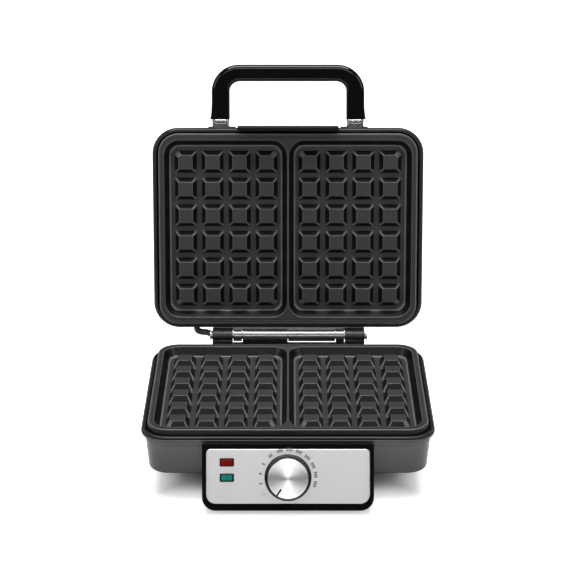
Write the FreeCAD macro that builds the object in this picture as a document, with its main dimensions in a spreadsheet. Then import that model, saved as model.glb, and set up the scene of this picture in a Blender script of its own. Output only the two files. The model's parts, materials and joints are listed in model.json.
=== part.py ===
"""Waffle maker: a hinged base and lid, each a thin casing round a cast plate with two waffle wells.

Frame: X to the right, Y to the back, Z up, millimetres. The origin is on the table, under the
centre of the base casing. The lid is drawn closed, and its placement swings it open on the hinge.
"""
import FreeCAD, Part
import math
import os
import Sketcher

V = FreeCAD.Vector
X_AXIS = V(1, 0, 0)

doc = FreeCAD.newDocument("WaffleMaker")
sheet = doc.addObject("Spreadsheet::Sheet", "Sizes")


class Size:
    """A length or angle that carries its number and the sheet expression it comes from."""

    def __init__(self, value, text):
        self.value = float(value)
        self.text = text

    def __add__(self, other):
        other = size(other)
        return Size(self.value + other.value, f"({self.text} + {other.text})")

    def __sub__(self, other):
        other = size(other)
        return Size(self.value - other.value, f"({self.text} - {other.text})")

    def __mul__(self, factor):
        factor = size(factor)
        return Size(self.value * factor.value, f"({self.text} * {factor.text})")

    def __truediv__(self, divisor):
        divisor = size(divisor)
        return Size(self.value / divisor.value, f"({self.text} / {divisor.text})")

    def __rsub__(self, other):
        return size(other) - self

    def __neg__(self):
        return size(0) - self

    __radd__ = __add__
    __rmul__ = __mul__


def size(number):
    """Any plain number as a Size, so helpers can take either."""
    return number if isinstance(number, Size) else Size(number, f"({float(number)})")


def driving(name, value):
    """Put one driving dimension in the next row of the sheet, under its name."""
    driving.row += 1
    cell = f"B{driving.row}"
    sheet.set(f"A{driving.row}", name)
    sheet.set(cell, str(value))
    sheet.setAlias(cell, name)
    return Size(value, f"Sizes.{name}")


driving.row = 0

# ---------------------------------------------------------------- driving dimensions
rim = driving("rim_height", 65.0)                    # meeting plane of the two plates
plate_gap = driving("plate_gap", 0.5)                # between the closed plates' rims
plate_width = driving("plate_width", 240.6)
plate_depth = driving("plate_depth", 179.0)
plate_corner = driving("plate_corner", 18.5)
plate_skirt = driving("plate_skirt", 8.8)            # height of the plate's outer wall
well_outer = driving("well_outer", 114.85)           # from the centre line to a well's outer edge
well_depth_y = driving("well_length", 165.5)
well_corner = driving("well_corner", 14.0)
well_sink = driving("well_sink", 8.0)
well_slope = driving("well_slope", 32.0)             # degrees from upright
ridge = driving("ridge_width", 1.6)
pad_pitch = driving("pad_pitch", 25.0)
pad_base = driving("pad_base", 20.6)
pad_rise = driving("pad_rise", 6.4)
pad_slope = driving("pad_slope", 31.7)
plate_floor = driving("plate_floor", 3.0)

lip_width = driving("lip_width", 251.8)
lip_depth = driving("lip_depth", 187.8)
lip_corner = driving("lip_corner", 24.0)
lip_drop = driving("lip_drop", 5.3)                  # from the rim plane to the casing's lip
lip_thick = driving("lip_thick", 5.0)
lip_reach = driving("lip_reach", 3.4)                # how far the lip stands out from the wall
lip_round = driving("lip_round", 2.1)
lip_seat = driving("lip_seat", 3.9)                  # lip's outer edge to its opening
wall = driving("wall_thick", 2.4)
wall_draft = driving("wall_draft", 5.0)              # degrees
casing_bottom = driving("casing_bottom", 22.5)
bottom_thick = driving("bottom_thick", 2.0)
lid_thick = driving("lid_thick", 34.0)
lid_crown = driving("lid_crown", 9.0)                # radius round the lid's back

hinge_back = driving("hinge_back", 101.0)            # hinge axis, from the centre
hinge_height = driving("hinge_height", 68.25)
open_angle = driving("open_angle", 103.0)
barrel_radius = driving("barrel_radius", 5.4)
pin_radius = driving("pin_radius", 3.0)
pin_play = driving("pin_play", 0.06)
leaf_thick = driving("leaf_thick", 2.0)
body_gap = driving("body_gap", 0.35)                 # between pieces that move past each other

panel_width = driving("panel_width", 145.0)
panel_height = driving("panel_height", 56.0)
panel_tilt = driving("panel_tilt", 22.0)
panel_front = driving("panel_front", 99.3)           # top edge of the face, from the centre
panel_top = driving("panel_top", 56.5)
panel_corner = driving("panel_corner", 11.4)
fascia_width = driving("fascia_width", 138.0)
fascia_height = driving("fascia_height", 46.0)
fascia_drop = driving("fascia_drop", 4.0)
fascia_corner = driving("fascia_corner", 8.0)
fascia_top_corner = driving("fascia_top_corner", 3.4)
fascia_thick = driving("fascia_thick", 1.0)
knob_drop = driving("knob_drop", 27.8)
knob_skirt = driving("knob_skirt", 19.8)
knob_grip = driving("knob_grip", 17.4)
knob_height = driving("knob_height", 12.4)
cap_radius = driving("cap_radius", 16.9)
shaft_radius = driving("shaft_radius", 3.0)
pointer_angle = driving("pointer_angle", 236.5)
lamp_width = driving("lamp_width", 11.4)
lamp_height = driving("lamp_height", 6.3)
lamp_side = driving("lamp_side", 51.5)
red_drop = driving("red_drop", 15.1)
green_drop = driving("green_drop", 28.1)

handle_reach = driving("handle_reach", 151.6)        # from the centre to the grip's front
handle_width = driving("handle_width", 141.7)
handle_leg = driving("handle_leg", 16.7)
handle_bar = driving("handle_bar", 15.2)
handle_thick = driving("handle_thick", 13.0)
handle_level = driving("handle_level", 83.0)
collar_front = driving("collar_front", 101.6)
mount_front = driving("mount_front", 94.6)
mount_inner = driving("mount_inner", 48.7)
mount_outer = driving("mount_outer", 74.0)
latch_half = driving("latch_half", 46.5)
latch_thick = driving("latch_thick", 1.4)
latch_pivot_front = driving("latch_pivot_front", 92.45)
latch_pivot_height = driving("latch_pivot_height", 79.5)
latch_pin = driving("latch_pin", 1.1)
hook_grip = driving("hook_grip", 0.9)

foot_radius = driving("foot_radius", 11.0)
foot_rim = driving("foot_rim", 1.5)
lead_radius = driving("lead_radius", 3.0)
element_radius = driving("element_radius", 3.2)
gland_height = driving("gland_height", 38.0)
gland_bore = driving("gland_bore", 3.6)
gland_side = driving("gland_side", 92.0)

doc.recompute()


# ---------------------------------------------------------------- helpers
def bind(item, prop, length):
    """Tie one property to the sheet."""
    item.setExpression(prop, size(length).text)


def name_part(item, label):
    """Mark an object as a finished sub-part of this name."""
    item.Label = label
    parts[label] = item
    return item


parts = {}


def box(name, corner, lengths, frame=None):
    """A box from its lowest corner, bound to the sheet, or numeric inside a turned frame."""
    item = doc.addObject("Part::Box", name)
    for prop, length in zip(("Length", "Width", "Height"), lengths):
        bind(item, prop, length)
    set_corner(item, corner, FreeCAD.Rotation(), frame)
    return item


def set_corner(item, corner, turn, frame):
    item.Placement = FreeCAD.Placement(V(*[size(c).value for c in corner]), turn)
    if frame is None:
        for prop, place in zip("xyz", corner):
            bind(item, f"Placement.Base.{prop}", place)
    else:
        item.Placement = frame.multiply(item.Placement)


TURNS = {"Z": FreeCAD.Rotation(), "X": FreeCAD.Rotation(V(0, 1, 0), 90),
         "Y": FreeCAD.Rotation(X_AXIS, -90)}


def rod(name, foot, radius, length, axis="Z", frame=None, angle=360):
    """A cylinder that starts at foot and runs along +X, +Y or +Z."""
    item = doc.addObject("Part::Cylinder", name)
    bind(item, "Radius", radius)
    bind(item, "Height", length)
    item.Angle = angle
    set_corner(item, foot, TURNS[axis], frame)
    return item


def cone(name, foot, radius, top_radius, length):
    item = doc.addObject("Part::Cone", name)
    bind(item, "Radius1", radius)
    bind(item, "Radius2", top_radius)
    bind(item, "Height", length)
    set_corner(item, foot, FreeCAD.Rotation(), None)
    return item


def join(name, items):
    """One object from several: fused where they touch, separate solids where they don't."""
    if len(items) == 1:
        return items[0]
    item = doc.addObject("Part::MultiFuse", name)
    item.Shapes = items
    return item


def cut(name, base, tools):
    item = doc.addObject("Part::Cut", name)
    item.Base = base
    item.Tool = join(name + "_tools", tools)
    return item


def common(name, base, tool):
    item = doc.addObject("Part::Common", name)
    item.Base = base
    item.Tool = tool
    return item


def in_frame(item, frame):
    item.Placement = frame
    return item


def new_body(name, frame=None):
    body = doc.addObject("PartDesign::Body", name)
    if frame is not None:
        body.Placement = frame
    return body


def sketch_on(body, role, offset, along=0, across=0):
    """A sketch on one of the body's own origin planes, moved off it by offset."""
    sketch = body.newObject("Sketcher::SketchObject", body.Name + "_sketch")
    plane = [feature for feature in body.Origin.OriginFeatures if feature.Role == role][0]
    sketch.AttachmentSupport = [(plane, "")]
    sketch.MapMode = "FlatFace"
    for prop, place in (("x", along), ("y", across), ("z", offset)):
        bind(sketch, f"AttachmentOffset.Base.{prop}", place)
    return sketch


def rounded_rectangle(sketch, width, depth, corner):
    """A centred rectangle with four equal rounded corners, driven by three sheet sizes."""
    width, depth, corner = size(width), size(depth), size(corner)
    x, y, r = width.value / 2, depth.value / 2, corner.value
    outline = [Part.LineSegment(V(-x + r, y, 0), V(x - r, y, 0)),
               Part.LineSegment(V(x, y - r, 0), V(x, -y + r, 0)),
               Part.LineSegment(V(x - r, -y, 0), V(-x + r, -y, 0)),
               Part.LineSegment(V(-x, -y + r, 0), V(-x, y - r, 0))]
    quarter = math.pi / 2
    for corner_x, corner_y, start in ((x - r, y - r, 0), (x - r, -y + r, 3 * quarter),
                                      (-x + r, -y + r, 2 * quarter), (-x + r, y - r, quarter)):
        circle = Part.Circle(V(corner_x, corner_y, 0), V(0, 0, 1), r)
        outline.append(Part.ArcOfCircle(circle, start, start + quarter))
    sketch.addGeometry(outline, False)
    link = Sketcher.Constraint
    rules = [link("Tangent", 0, 2, 4, 2), link("Tangent", 4, 1, 1, 1),
             link("Tangent", 1, 2, 5, 2), link("Tangent", 5, 1, 2, 1),
             link("Tangent", 2, 2, 6, 2), link("Tangent", 6, 1, 3, 1),
             link("Tangent", 3, 2, 7, 2), link("Tangent", 7, 1, 0, 1),
             link("Horizontal", 0), link("Horizontal", 2), link("Vertical", 1), link("Vertical", 3),
             link("Equal", 4, 5), link("Equal", 5, 6), link("Equal", 6, 7),
             link("Symmetric", 4, 3, 6, 3, -1, 1)]
    sketch.addConstraint(rules)
    for name, rule, length in (("width", link("DistanceX", 3, 1, 1, 1, 2 * x), width),
                               ("depth", link("DistanceY", 2, 1, 0, 1, 2 * y), depth),
                               ("corner", link("Radius", 4, r), corner)):
        index = sketch.addConstraint(rule)
        sketch.renameConstraint(index, name)
        sketch.setExpression(f"Constraints.{name}", length.text)


def polygon(sketch, points):
    """A closed outline whose corners are each held from the origin by two sheet sizes."""
    points = [(size(u), size(v)) for u, v in points]
    ends = [V(u.value, v.value, 0) for u, v in points]
    count = len(ends)
    sketch.addGeometry([Part.LineSegment(ends[i], ends[(i + 1) % count]) for i in range(count)])
    for i in range(count):
        sketch.addConstraint(Sketcher.Constraint("Coincident", i, 2, (i + 1) % count, 1))
    for i, (u, v) in enumerate(points):
        for kind, place in (("DistanceX", u), ("DistanceY", v)):
            index = sketch.addConstraint(Sketcher.Constraint(kind, -1, 1, i, 1, place.value))
            name = f"{kind}_{i}"
            sketch.renameConstraint(index, name)
            sketch.setExpression(f"Constraints.{name}", place.text)


def extrude(body, sketch, length, taper=None, cutting=False, upwards=True, midplane=False):
    """Pad or pocket the sketch. A pocket has to remove material."""
    kind = "Pocket" if cutting else "Pad"
    volume = body.Shape.Volume if body.Tip else 0
    feature = body.newObject(f"PartDesign::{kind}", f"{body.Name}_{kind}")
    feature.Profile = sketch
    bind(feature, "Length", length)
    feature.Reversed = upwards if cutting else not upwards
    feature.Midplane = midplane
    if taper is not None:
        bind(feature, "TaperAngle", taper)
    doc.recompute()
    if cutting and body.Shape.Volume >= volume:
        raise RuntimeError(f"{feature.Name} removed nothing")
    return feature


def slab(body, width, depth, corner, bottom, height, taper=None, cutting=False, along=0, across=0):
    """Pad or pocket a rounded rectangle upwards from the level called bottom."""
    sketch = sketch_on(body, "XY_Plane", bottom, along, across)
    rounded_rectangle(sketch, width, depth, corner)
    return extrude(body, sketch, height, taper, cutting)


def round_edges(body, radius, wanted):
    """Fillet the edges of the body's last feature that pass the test."""
    base = body.Tip
    names = [f"Edge{i + 1}" for i, edge in enumerate(base.Shape.Edges) if wanted(edge.BoundBox)]
    feature = body.newObject("PartDesign::Fillet", body.Name + "_Fillet")
    feature.Base = (base, names)
    bind(feature, "Radius", radius)
    doc.recompute()
    return feature


def at_level(level):
    """A test for edges that lie flat at one height."""
    height = size(level).value
    return lambda bounds: abs(bounds.ZMin - height) < 0.01 and abs(bounds.ZMax - height) < 0.01


def bent_path(points):
    """Straight runs joined by tangent arcs, each as large as its two runs allow."""
    edges = []
    radii = []
    start = points[0]
    for before, corner, after in zip(points, points[1:], points[2:]):
        arrive = (corner - before).normalize()
        leave = (after - corner).normalize()
        turn = arrive.getAngle(leave)
        setback = 0.45 * min((corner - before).Length, (after - corner).Length)
        radii.append(setback / math.tan(turn / 2))
        first = corner - arrive * setback
        last = corner + leave * setback
        inwards = (leave - arrive).normalize()
        middle = corner + inwards * (math.hypot(setback, radii[-1]) - radii[-1])
        edges.append(Part.LineSegment(start, first).toShape())
        edges.append(Part.Arc(first, middle, last).toShape())
        start = last
    edges.append(Part.LineSegment(start, points[-1]).toShape())
    return Part.Wire(edges), radii


def tube(points, radius):
    """A round bar along a bent path."""
    path, radii = bent_path(points)
    ring = Part.Circle(points[0], points[1] - points[0], radius).toShape()
    shape = path.makePipeShell([Part.Wire([ring])], True, False)
    expected = math.pi * radius ** 2 * path.Length
    if abs(shape.Volume - expected) > 0.02 * expected:
        raise RuntimeError("a tube's volume is not its section times its length")
    return shape, radii


# ---------------------------------------------------------------- frames
hinge_centre = V(0, hinge_back.value, hinge_height.value)
swing_open = FreeCAD.Placement(V(), FreeCAD.Rotation(X_AXIS, -open_angle.value), hinge_centre)
panel_face = FreeCAD.Placement(V(0, -panel_front.value, panel_top.value),
                               FreeCAD.Rotation(X_AXIS, 90 - panel_tilt.value))
lid_rim = rim + plate_gap
base_plate_frame = FreeCAD.Placement(V(0, 0, rim.value), FreeCAD.Rotation())
turned_over = FreeCAD.Placement(V(0, 0, lid_rim.value), FreeCAD.Rotation(X_AXIS, 180))
lid_plate_frame = swing_open.multiply(turned_over)   # the plates' own frame, turned to face down


# ---------------------------------------------------------------- plates
def waffle_plate(label, frame):
    """A cast plate, rim at level 0: two tapered wells with four by six tapered pads each."""
    body = new_body(label, frame)
    belly = well_sink + plate_floor
    slab(body, plate_width - 8, plate_depth - 8, plate_corner - 4, -belly, belly - plate_skirt)
    slab(body, plate_width, plate_depth, plate_corner, -plate_skirt, plate_skirt)
    well_width = well_outer - ridge / 2
    for side in (-1, 1):
        sketch = sketch_on(body, "XY_Plane", 0, side * (well_outer + ridge / 2) / 2)
        rounded_rectangle(sketch, well_width, well_depth_y, well_corner)
        extrude(body, sketch, well_sink, -well_slope, cutting=True, upwards=False)
    sketch = sketch_on(body, "XY_Plane", -well_sink - 0.2, 0, -2.5 * pad_pitch)
    pad_row(sketch)
    row = extrude(body, sketch, pad_rise + 0.2, -pad_slope)
    rows = body.newObject("PartDesign::LinearPattern", label + "_rows")
    rows.Originals = [row]
    rows.Direction = (sketch, ["V_Axis"])
    bind(rows, "Length", pad_pitch * 5)
    rows.Occurrences = 6
    body.Tip = rows
    doc.recompute()
    return name_part(body, label)


def pad_row(sketch):
    """One row of eight pad outlines, four in each well."""
    link = Sketcher.Constraint
    for column in range(8):
        step = column - 3.5
        centre = pad_pitch * step + (-7.5 if step < 0 else 7.5)
        left, right, half = centre - pad_base / 2, centre + pad_base / 2, pad_base / 2
        first = 4 * column
        ends = [V(left.value, -half.value, 0), V(right.value, -half.value, 0),
                V(right.value, half.value, 0), V(left.value, half.value, 0)]
        sketch.addGeometry([Part.LineSegment(ends[i], ends[(i + 1) % 4]) for i in range(4)])
        for i in range(4):
            sketch.addConstraint(link("Coincident", first + i, 2, first + (i + 1) % 4, 1))
        for i in (0, 2):
            sketch.addConstraint(link("Horizontal", first + i))
        for i in (1, 3):
            sketch.addConstraint(link("Vertical", first + i))
        for name, rule, length in (
                ("left", link("DistanceX", -1, 1, first, 1, left.value), left),
                ("right", link("DistanceX", -1, 1, first + 2, 1, right.value), right),
                ("near", link("DistanceY", -1, 1, first, 1, -half.value), -half),
                ("far", link("DistanceY", -1, 1, first + 2, 1, half.value), half)):
            index = sketch.addConstraint(rule)
            sketch.renameConstraint(index, f"{name}_{column}")
            sketch.setExpression(f"Constraints.{name}_{column}", length.text)


waffle_plate("lower_plate", base_plate_frame)
waffle_plate("upper_plate", lid_plate_frame)

# ---------------------------------------------------------------- casings
lip_top = rim - lip_drop
lip_low = lip_top - lip_thick
lid_lip_low = lid_rim + lip_drop
lid_lip_top = lid_lip_low + lip_thick
lid_back = lid_rim + lid_thick
wall_width = lip_width - 2 * lip_reach
wall_depth = lip_depth - 2 * lip_reach
wall_corner = lip_corner - lip_reach
rear_wall = wall_depth / 2
leaf_front = hinge_back - barrel_radius              # the leaves stand tangent to the barrels
leaf_left, leaf_right = -71.0, 72.0
leaf_gap = barrel_radius + leaf_thick                # from the axis to where the leaves widen
pad_reach = 23.5                                     # height of the hinge pad on each rear wall

base_outer = new_body("base_outer")
sketch = sketch_on(base_outer, "XY_Plane", lip_low + 0.2)
rounded_rectangle(sketch, wall_width, wall_depth, wall_corner)
extrude(base_outer, sketch, lip_low + 0.2 - casing_bottom, -wall_draft, upwards=False)
slab(base_outer, lip_width, lip_depth, lip_corner, lip_low, lip_thick)
round_edges(base_outer, lip_round, lambda edge: at_level(lip_top)(edge))
round_edges(base_outer, 1.5, lambda edge: at_level(casing_bottom)(edge))

base_inner = new_body("base_inner")
opening_width = lip_width - 2 * lip_seat
opening_depth = lip_depth - 2 * lip_seat
opening_sink = lip_thick - 1.3
sketch = sketch_on(base_inner, "XY_Plane", lip_top - opening_sink)
rounded_rectangle(sketch, wall_width - 2 * wall, wall_depth - 2 * wall, wall_corner - wall)
extrude(base_inner, sketch, lip_top - opening_sink - casing_bottom + 1, -wall_draft, upwards=False)
slab(base_inner, opening_width, opening_depth, lip_corner - lip_seat, lip_top - opening_sink,
     opening_sink + 1)

lid_outer = new_body("lid_outer")
slab(lid_outer, wall_width, wall_depth, wall_corner, lid_lip_top - 0.2,
     lid_back - lid_lip_top + 0.2, -wall_draft)
slab(lid_outer, lip_width, lip_depth, lip_corner, lid_lip_low, lip_thick)
round_edges(lid_outer, lip_round, lambda edge: at_level(lid_lip_low)(edge))
round_edges(lid_outer, lid_crown, lambda edge: at_level(lid_back)(edge))

lid_inner = new_body("lid_inner")
lid_hollow = lid_back - lid_lip_low - opening_sink - wall
slab(lid_inner, wall_width - 2 * wall, wall_depth - 2 * wall, wall_corner - wall,
     lid_lip_low + opening_sink, lid_hollow, -wall_draft)
slab(lid_inner, opening_width, opening_depth, lip_corner - lip_seat, lid_lip_low - 1,
     opening_sink + 1)
round_edges(lid_inner, lid_crown - wall, lambda edge: at_level(lid_back - wall)(edge))

# rear openings: the mains gland and the lead that carries power up to the lid
lead_side = -60.0
lead_level = 34.0
lid_lead_side = -86.0
lid_lead_level = 89.0
grommet_radius = 5.0
base_pad = box("base_hinge_pad", (leaf_left, 80, lip_low - pad_reach),
               (leaf_right - leaf_left, leaf_front - 80, pad_reach))
base_shell = cut("base_shell", join("base_solid", [base_outer, base_pad]), [
    base_inner,
    rod("gland_hole", (gland_side, 75, gland_height), 6.1, 30, "Y"),
    rod("lead_hole", (lead_side, 75, lead_level), grommet_radius + 0.1, 30, "Y"),
    box("panel_window", (-60, -100, casing_bottom + 5), (120, 25, 20))])
name_part(base_shell, "base_casing")

lid_pad = box("lid_hinge_pad", (leaf_left, 80, lid_lip_top),
              (leaf_right - leaf_left, leaf_front - 80, lid_back - lid_lip_top - lid_crown))
lid_shell = cut("lid_shell", join("lid_solid", [lid_outer, lid_pad]), [
    lid_inner,
    rod("lid_lead_hole", (lid_lead_side, 75, lid_lead_level), grommet_radius + 0.1, 30, "Y")])
name_part(in_frame(lid_shell, swing_open), "lid_casing")

# ---------------------------------------------------------------- base: bottom, feet
bottom_drop = (lip_low - casing_bottom).value * math.tan(math.radians(wall_draft.value))
bottom_plate = new_body("bottom_plate")
slab(bottom_plate, wall_width - 2 * wall - 2 * bottom_drop - 1.2,
     wall_depth - 2 * wall - 2 * bottom_drop - 1.2, wall_corner - wall - 3, casing_bottom, bottom_thick)
post_side, post_back = 84.0, 58.0
post_places = [(x, y) for x in (-post_side, post_side) for y in (-post_back, post_back)]
post_height = 12.0
posts = [rod(f"post_{i}", (x, y, casing_bottom + bottom_thick), 4.0, post_height)
         for i, (x, y) in enumerate(post_places)]
post_bores = [rod(f"post_bore_{i}", (x, y, casing_bottom - 1), 1.6, post_height)
              for i, (x, y) in enumerate(post_places)]
name_part(cut("bottom_cut", join("bottom_solid", [bottom_plate] + posts), post_bores), "base_bottom")
screws = []
for i, (x, y) in enumerate(post_places):
    head = rod(f"bottom_head_{i}", (x, y, casing_bottom - 2), 3.2, 2)
    shank = rod(f"bottom_shank_{i}", (x, y, casing_bottom - 2), 1.6, 11)
    screws.append(join(f"bottom_screw_{i}", [head, shank]))
name_part(join("bottom_screw_set", screws), "bottom_screws")

front_feet = [(-62, -66), (62, -66)]
rear_feet = [(-98, 74.5), (98, 74.5)]
pad_recess = 1.0
for label, places in (("front_feet", front_feet), ("rear_feet", rear_feet)):
    feet = [cone(f"{label}_{i}", (x, y, foot_rim), foot_radius - 1.5, foot_radius,
                 casing_bottom - foot_rim) for i, (x, y) in enumerate(places)]
    cups = [rod(f"{label}_cup_{i}", (x, y, foot_rim - 1), foot_radius - 3.5, pad_recess + 1)
            for i, (x, y) in enumerate(places)]
    name_part(cut(label + "_cut", join(label + "_solid", feet), cups), label)
pads = [rod(f"foot_pad_{i}", (x, y, 0), foot_radius - 3.5, foot_rim + pad_recess)
        for i, (x, y) in enumerate(front_feet + rear_feet)]
name_part(join("foot_pad_set", pads), "foot_pads")

# ---------------------------------------------------------------- control panel
face_s, face_c = math.sin(math.radians(panel_tilt.value)), math.cos(math.radians(panel_tilt.value))
foot_front = -panel_front - panel_height * face_s
foot_level = panel_top - panel_height * face_c
ridge_back = -97.4
trough_floor = 50.0
housing_wedge = new_body("housing_wedge")
sketch = sketch_on(housing_wedge, "YZ_Plane", 0)
polygon(sketch, [(-panel_front, panel_top), (foot_front, foot_level), (-99, foot_level),
                 (-84.0, casing_bottom - 0.2), (-84.0, trough_floor), (ridge_back, trough_floor),
                 (ridge_back, panel_top)])
extrude(housing_wedge, sketch, panel_width, midplane=True)
housing_outline = new_body("housing_outline", panel_face)
slab(housing_outline, panel_width, panel_height + 2 * panel_corner, panel_corner, -45, 60,
     across=-(panel_height / 2 - panel_corner))
housing_room = new_body("housing_room")
sketch = sketch_on(housing_room, "YZ_Plane", 0)
skin = 2.5
polygon(sketch, [(-99.5, trough_floor - skin), (-101.6 + 1.0, trough_floor - skin),
                 (foot_front + 3.6, foot_level + skin), (-100.5, foot_level + skin),
                 (-80, casing_bottom + 4), (-80, trough_floor - skin)])
extrude(housing_room, sketch, panel_width - 2 * skin - 8, midplane=True)
knob_y = -knob_drop
window_w, window_h = lamp_width + 0.4, lamp_height + 0.4
lamp_drops = {"red": red_drop, "green": green_drop}
openings = [rod("shaft_hole", (0, knob_y, -12), shaft_radius + 0.6, 14, frame=panel_face)]
for colour, drop in lamp_drops.items():
    openings.append(box(f"{colour}_window", (-lamp_side - window_w / 2, -drop - window_h / 2, -10),
                        (window_w, window_h, 14), panel_face))
housing = cut("housing_cut", common("housing_form", housing_wedge, housing_outline),
              [housing_room, base_outer] + openings)
name_part(housing, "panel_housing")

fascia = new_body("fascia")
fascia_half = fascia_height / 2
slab(fascia, fascia_width, fascia_height, fascia_corner, 0, fascia_thick,
     across=-(fascia_drop + fascia_half))
slab(fascia, fascia_width, fascia_half, fascia_top_corner, 0, fascia_thick,
     across=-(fascia_drop + fascia_half / 2))
fascia_holes = [rod("fascia_shaft_hole", (0, knob_y, -1), shaft_radius + 0.6, 4)]
for colour, drop in lamp_drops.items():
    fascia_holes.append(box(f"{colour}_fascia_hole",
                            (-lamp_side - window_w / 2, -drop - window_h / 2, -1),
                            (window_w, window_h, 4)))
name_part(in_frame(cut("fascia_cut", fascia, fascia_holes), panel_face), "panel_fascia")

for colour, drop in lamp_drops.items():
    lens = box(f"{colour}_lens", (-lamp_side - lamp_width / 2, -drop - lamp_height / 2, -skin - 0.4),
               (lamp_width, lamp_height, skin + fascia_thick + 1.2), panel_face)
    name_part(lens, f"{colour}_lamp_lens")
lamp_mid = (red_drop + green_drop) / 2
holder = box("holder_block", (-lamp_side - 8, -lamp_mid - 12, -12), (16, 24, 8.8))
tubes_at = [(-lamp_side - 5, -drop, -7.5) for drop in lamp_drops.values()]
sockets = [rod(f"lamp_socket_{i}", at, 2.1, 10, "X") for i, at in enumerate(tubes_at)]
name_part(in_frame(cut("holder_cut", holder, sockets), panel_face), "lamp_holder")
neon = [rod(f"neon_{i}", at, 2.0, 10, "X") for i, at in enumerate(tubes_at)]
name_part(in_frame(join("neon_set", neon), panel_face), "neon_lamps")

# thermostat, its bracket behind the face, and the knob on its shaft
stem_low = -14.0
bracket = cut("bracket_cut", box("bracket_sheet", (-24, knob_y - 9, -4.1), (48, 18, 1.2)),
              [rod("bracket_hole", (0, knob_y, -6), shaft_radius + 0.6, 4)])
name_part(in_frame(bracket, panel_face), "thermostat_bracket")
thermo = cut("thermo_cut", box("thermo_block", (-15, knob_y - 8, -15.5), (30, 16, 11.2)),
             [rod("thermo_bore", (0, knob_y, -14.5), shaft_radius + pin_play, 14)])
name_part(in_frame(thermo, panel_face), "thermostat")
shaft = rod("stem", (0, knob_y, stem_low), shaft_radius, 22.0, frame=panel_face)
name_part(shaft, "thermostat_shaft")

grip_low = fascia_thick + 0.4
skirt_thick = 2.0
knob_turn_frame = panel_face.multiply(FreeCAD.Placement(V(0, knob_y.value, 0), FreeCAD.Rotation()))
knob_solid = join("knob_solid", [
    rod("knob_skirt_disc", (0, 0, grip_low), knob_skirt, skirt_thick),
    cone("knob_grip_cone", (0, 0, grip_low + skirt_thick), knob_grip + 0.5, knob_grip,
         knob_height - grip_low - skirt_thick)])
cap_sink = 0.6
knob_cut_out = cut("knob_cut", knob_solid, [
    rod("knob_bore", (0, 0, 0), shaft_radius, 8.0),
    rod("cap_seat", (0, 0, knob_height - cap_sink), cap_radius, 2)])
name_part(in_frame(knob_cut_out, knob_turn_frame), "knob_body")
pointer_turn = FreeCAD.Placement(V(), FreeCAD.Rotation(V(0, 0, 1), pointer_angle.value))
pointer_frame = knob_turn_frame.multiply(pointer_turn)
pointer_length = 6.6
pointer_slot = box("pointer_slot", (cap_radius - pointer_length, -0.7, knob_height), (9, 1.4, 1))
cap_disc = rod("cap_disc", (0, 0, knob_height - cap_sink), cap_radius, cap_sink + 0.5)
name_part(in_frame(cut("cap_cut", cap_disc, [pointer_slot]), pointer_frame), "knob_cap")
pointer = box("pointer_bar", (cap_radius - pointer_length, -0.7, knob_height),
              (pointer_length - 0.05, 1.4, 0.6), pointer_frame)
name_part(pointer, "knob_pointer")

# ---------------------------------------------------------------- hinge
def knuckles(prefix, spans, up):
    """Barrels with the tabs that join them to their leaf, in the closed position."""
    pieces = []
    for i, (left, right) in enumerate(spans):
        pieces.append(rod(f"{prefix}_barrel_{i}", (left, hinge_back, hinge_height), barrel_radius,
                          right - left, "X"))
        low = hinge_height if up else hinge_height - leaf_gap - 1
        pieces.append(box(f"{prefix}_tab_{i}", (left, leaf_front, low),
                          (right - left, leaf_thick, leaf_gap + 1)))
    return pieces


base_spans = [(-42.6, -0.2), (44.9, 52.7)]
lid_spans = [(-51.3, -43.3), (0.2, 44.2)]
leaf_height = 20.5
base_sheet = box("base_leaf_sheet", (leaf_left, leaf_front, hinge_height - leaf_gap - leaf_height),
                 (leaf_right - leaf_left, leaf_thick, leaf_height))
base_strip = box("base_leaf_strip", (-51.9, leaf_front, hinge_height - leaf_gap - 0.5),
                 (105.2, leaf_thick, leaf_gap + 0.5 - 4.9))
lid_sheet = box("lid_leaf_sheet", (leaf_left, leaf_front, hinge_height + leaf_gap),
                (leaf_right - leaf_left, leaf_thick, leaf_height))
name_part(cut("base_leaf_cut", join("base_leaf_solid", [base_sheet, base_strip] + knuckles("base", base_spans, False)), [
    rod("base_pin_bore", (-80, hinge_back, hinge_height), pin_radius, 160, "X")]), "base_hinge_leaf")
lid_leaf = cut("lid_leaf_cut", join("lid_leaf_solid", [lid_sheet] + knuckles("lid", lid_spans, True)), [
    rod("lid_pin_bore", (-80, hinge_back, hinge_height), pin_radius + pin_play, 160, "X")])
name_part(in_frame(lid_leaf, swing_open), "lid_hinge_leaf")
name_part(rod("pin_rod", (-73.4, hinge_back, hinge_height), pin_radius, 147.8, "X"), "hinge_pin")
rings = []
for i, left in enumerate((-72.9, 73.1)):
    ring = rod(f"clip_ring_{i}", (left, hinge_back, hinge_height), pin_radius + 1.8, 0.8, "X")
    rings.append(cut(f"clip_{i}", ring, [rod(f"clip_hole_{i}", (left - 1, hinge_back, hinge_height),
                                             pin_radius, 3, "X")]))
name_part(join("clip_set", rings), "hinge_pin_clips")

base_block_outline = [(-5.4, -2.95), (-5.4, -7.3), (-3.3, -7.3), (-3.3, -20), (8, -20), (8, -0.25),
                      (0, -0.25)]
lid_block_outline = [(0.5, 0.25), (7.7, 0.25), (7.7, 4.9), (0.6, 5.9)]
block_spans = {"left": (-70.9, -52.2), "right": (53.6, 71.8)}
pin_room = pin_radius + body_gap


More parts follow.
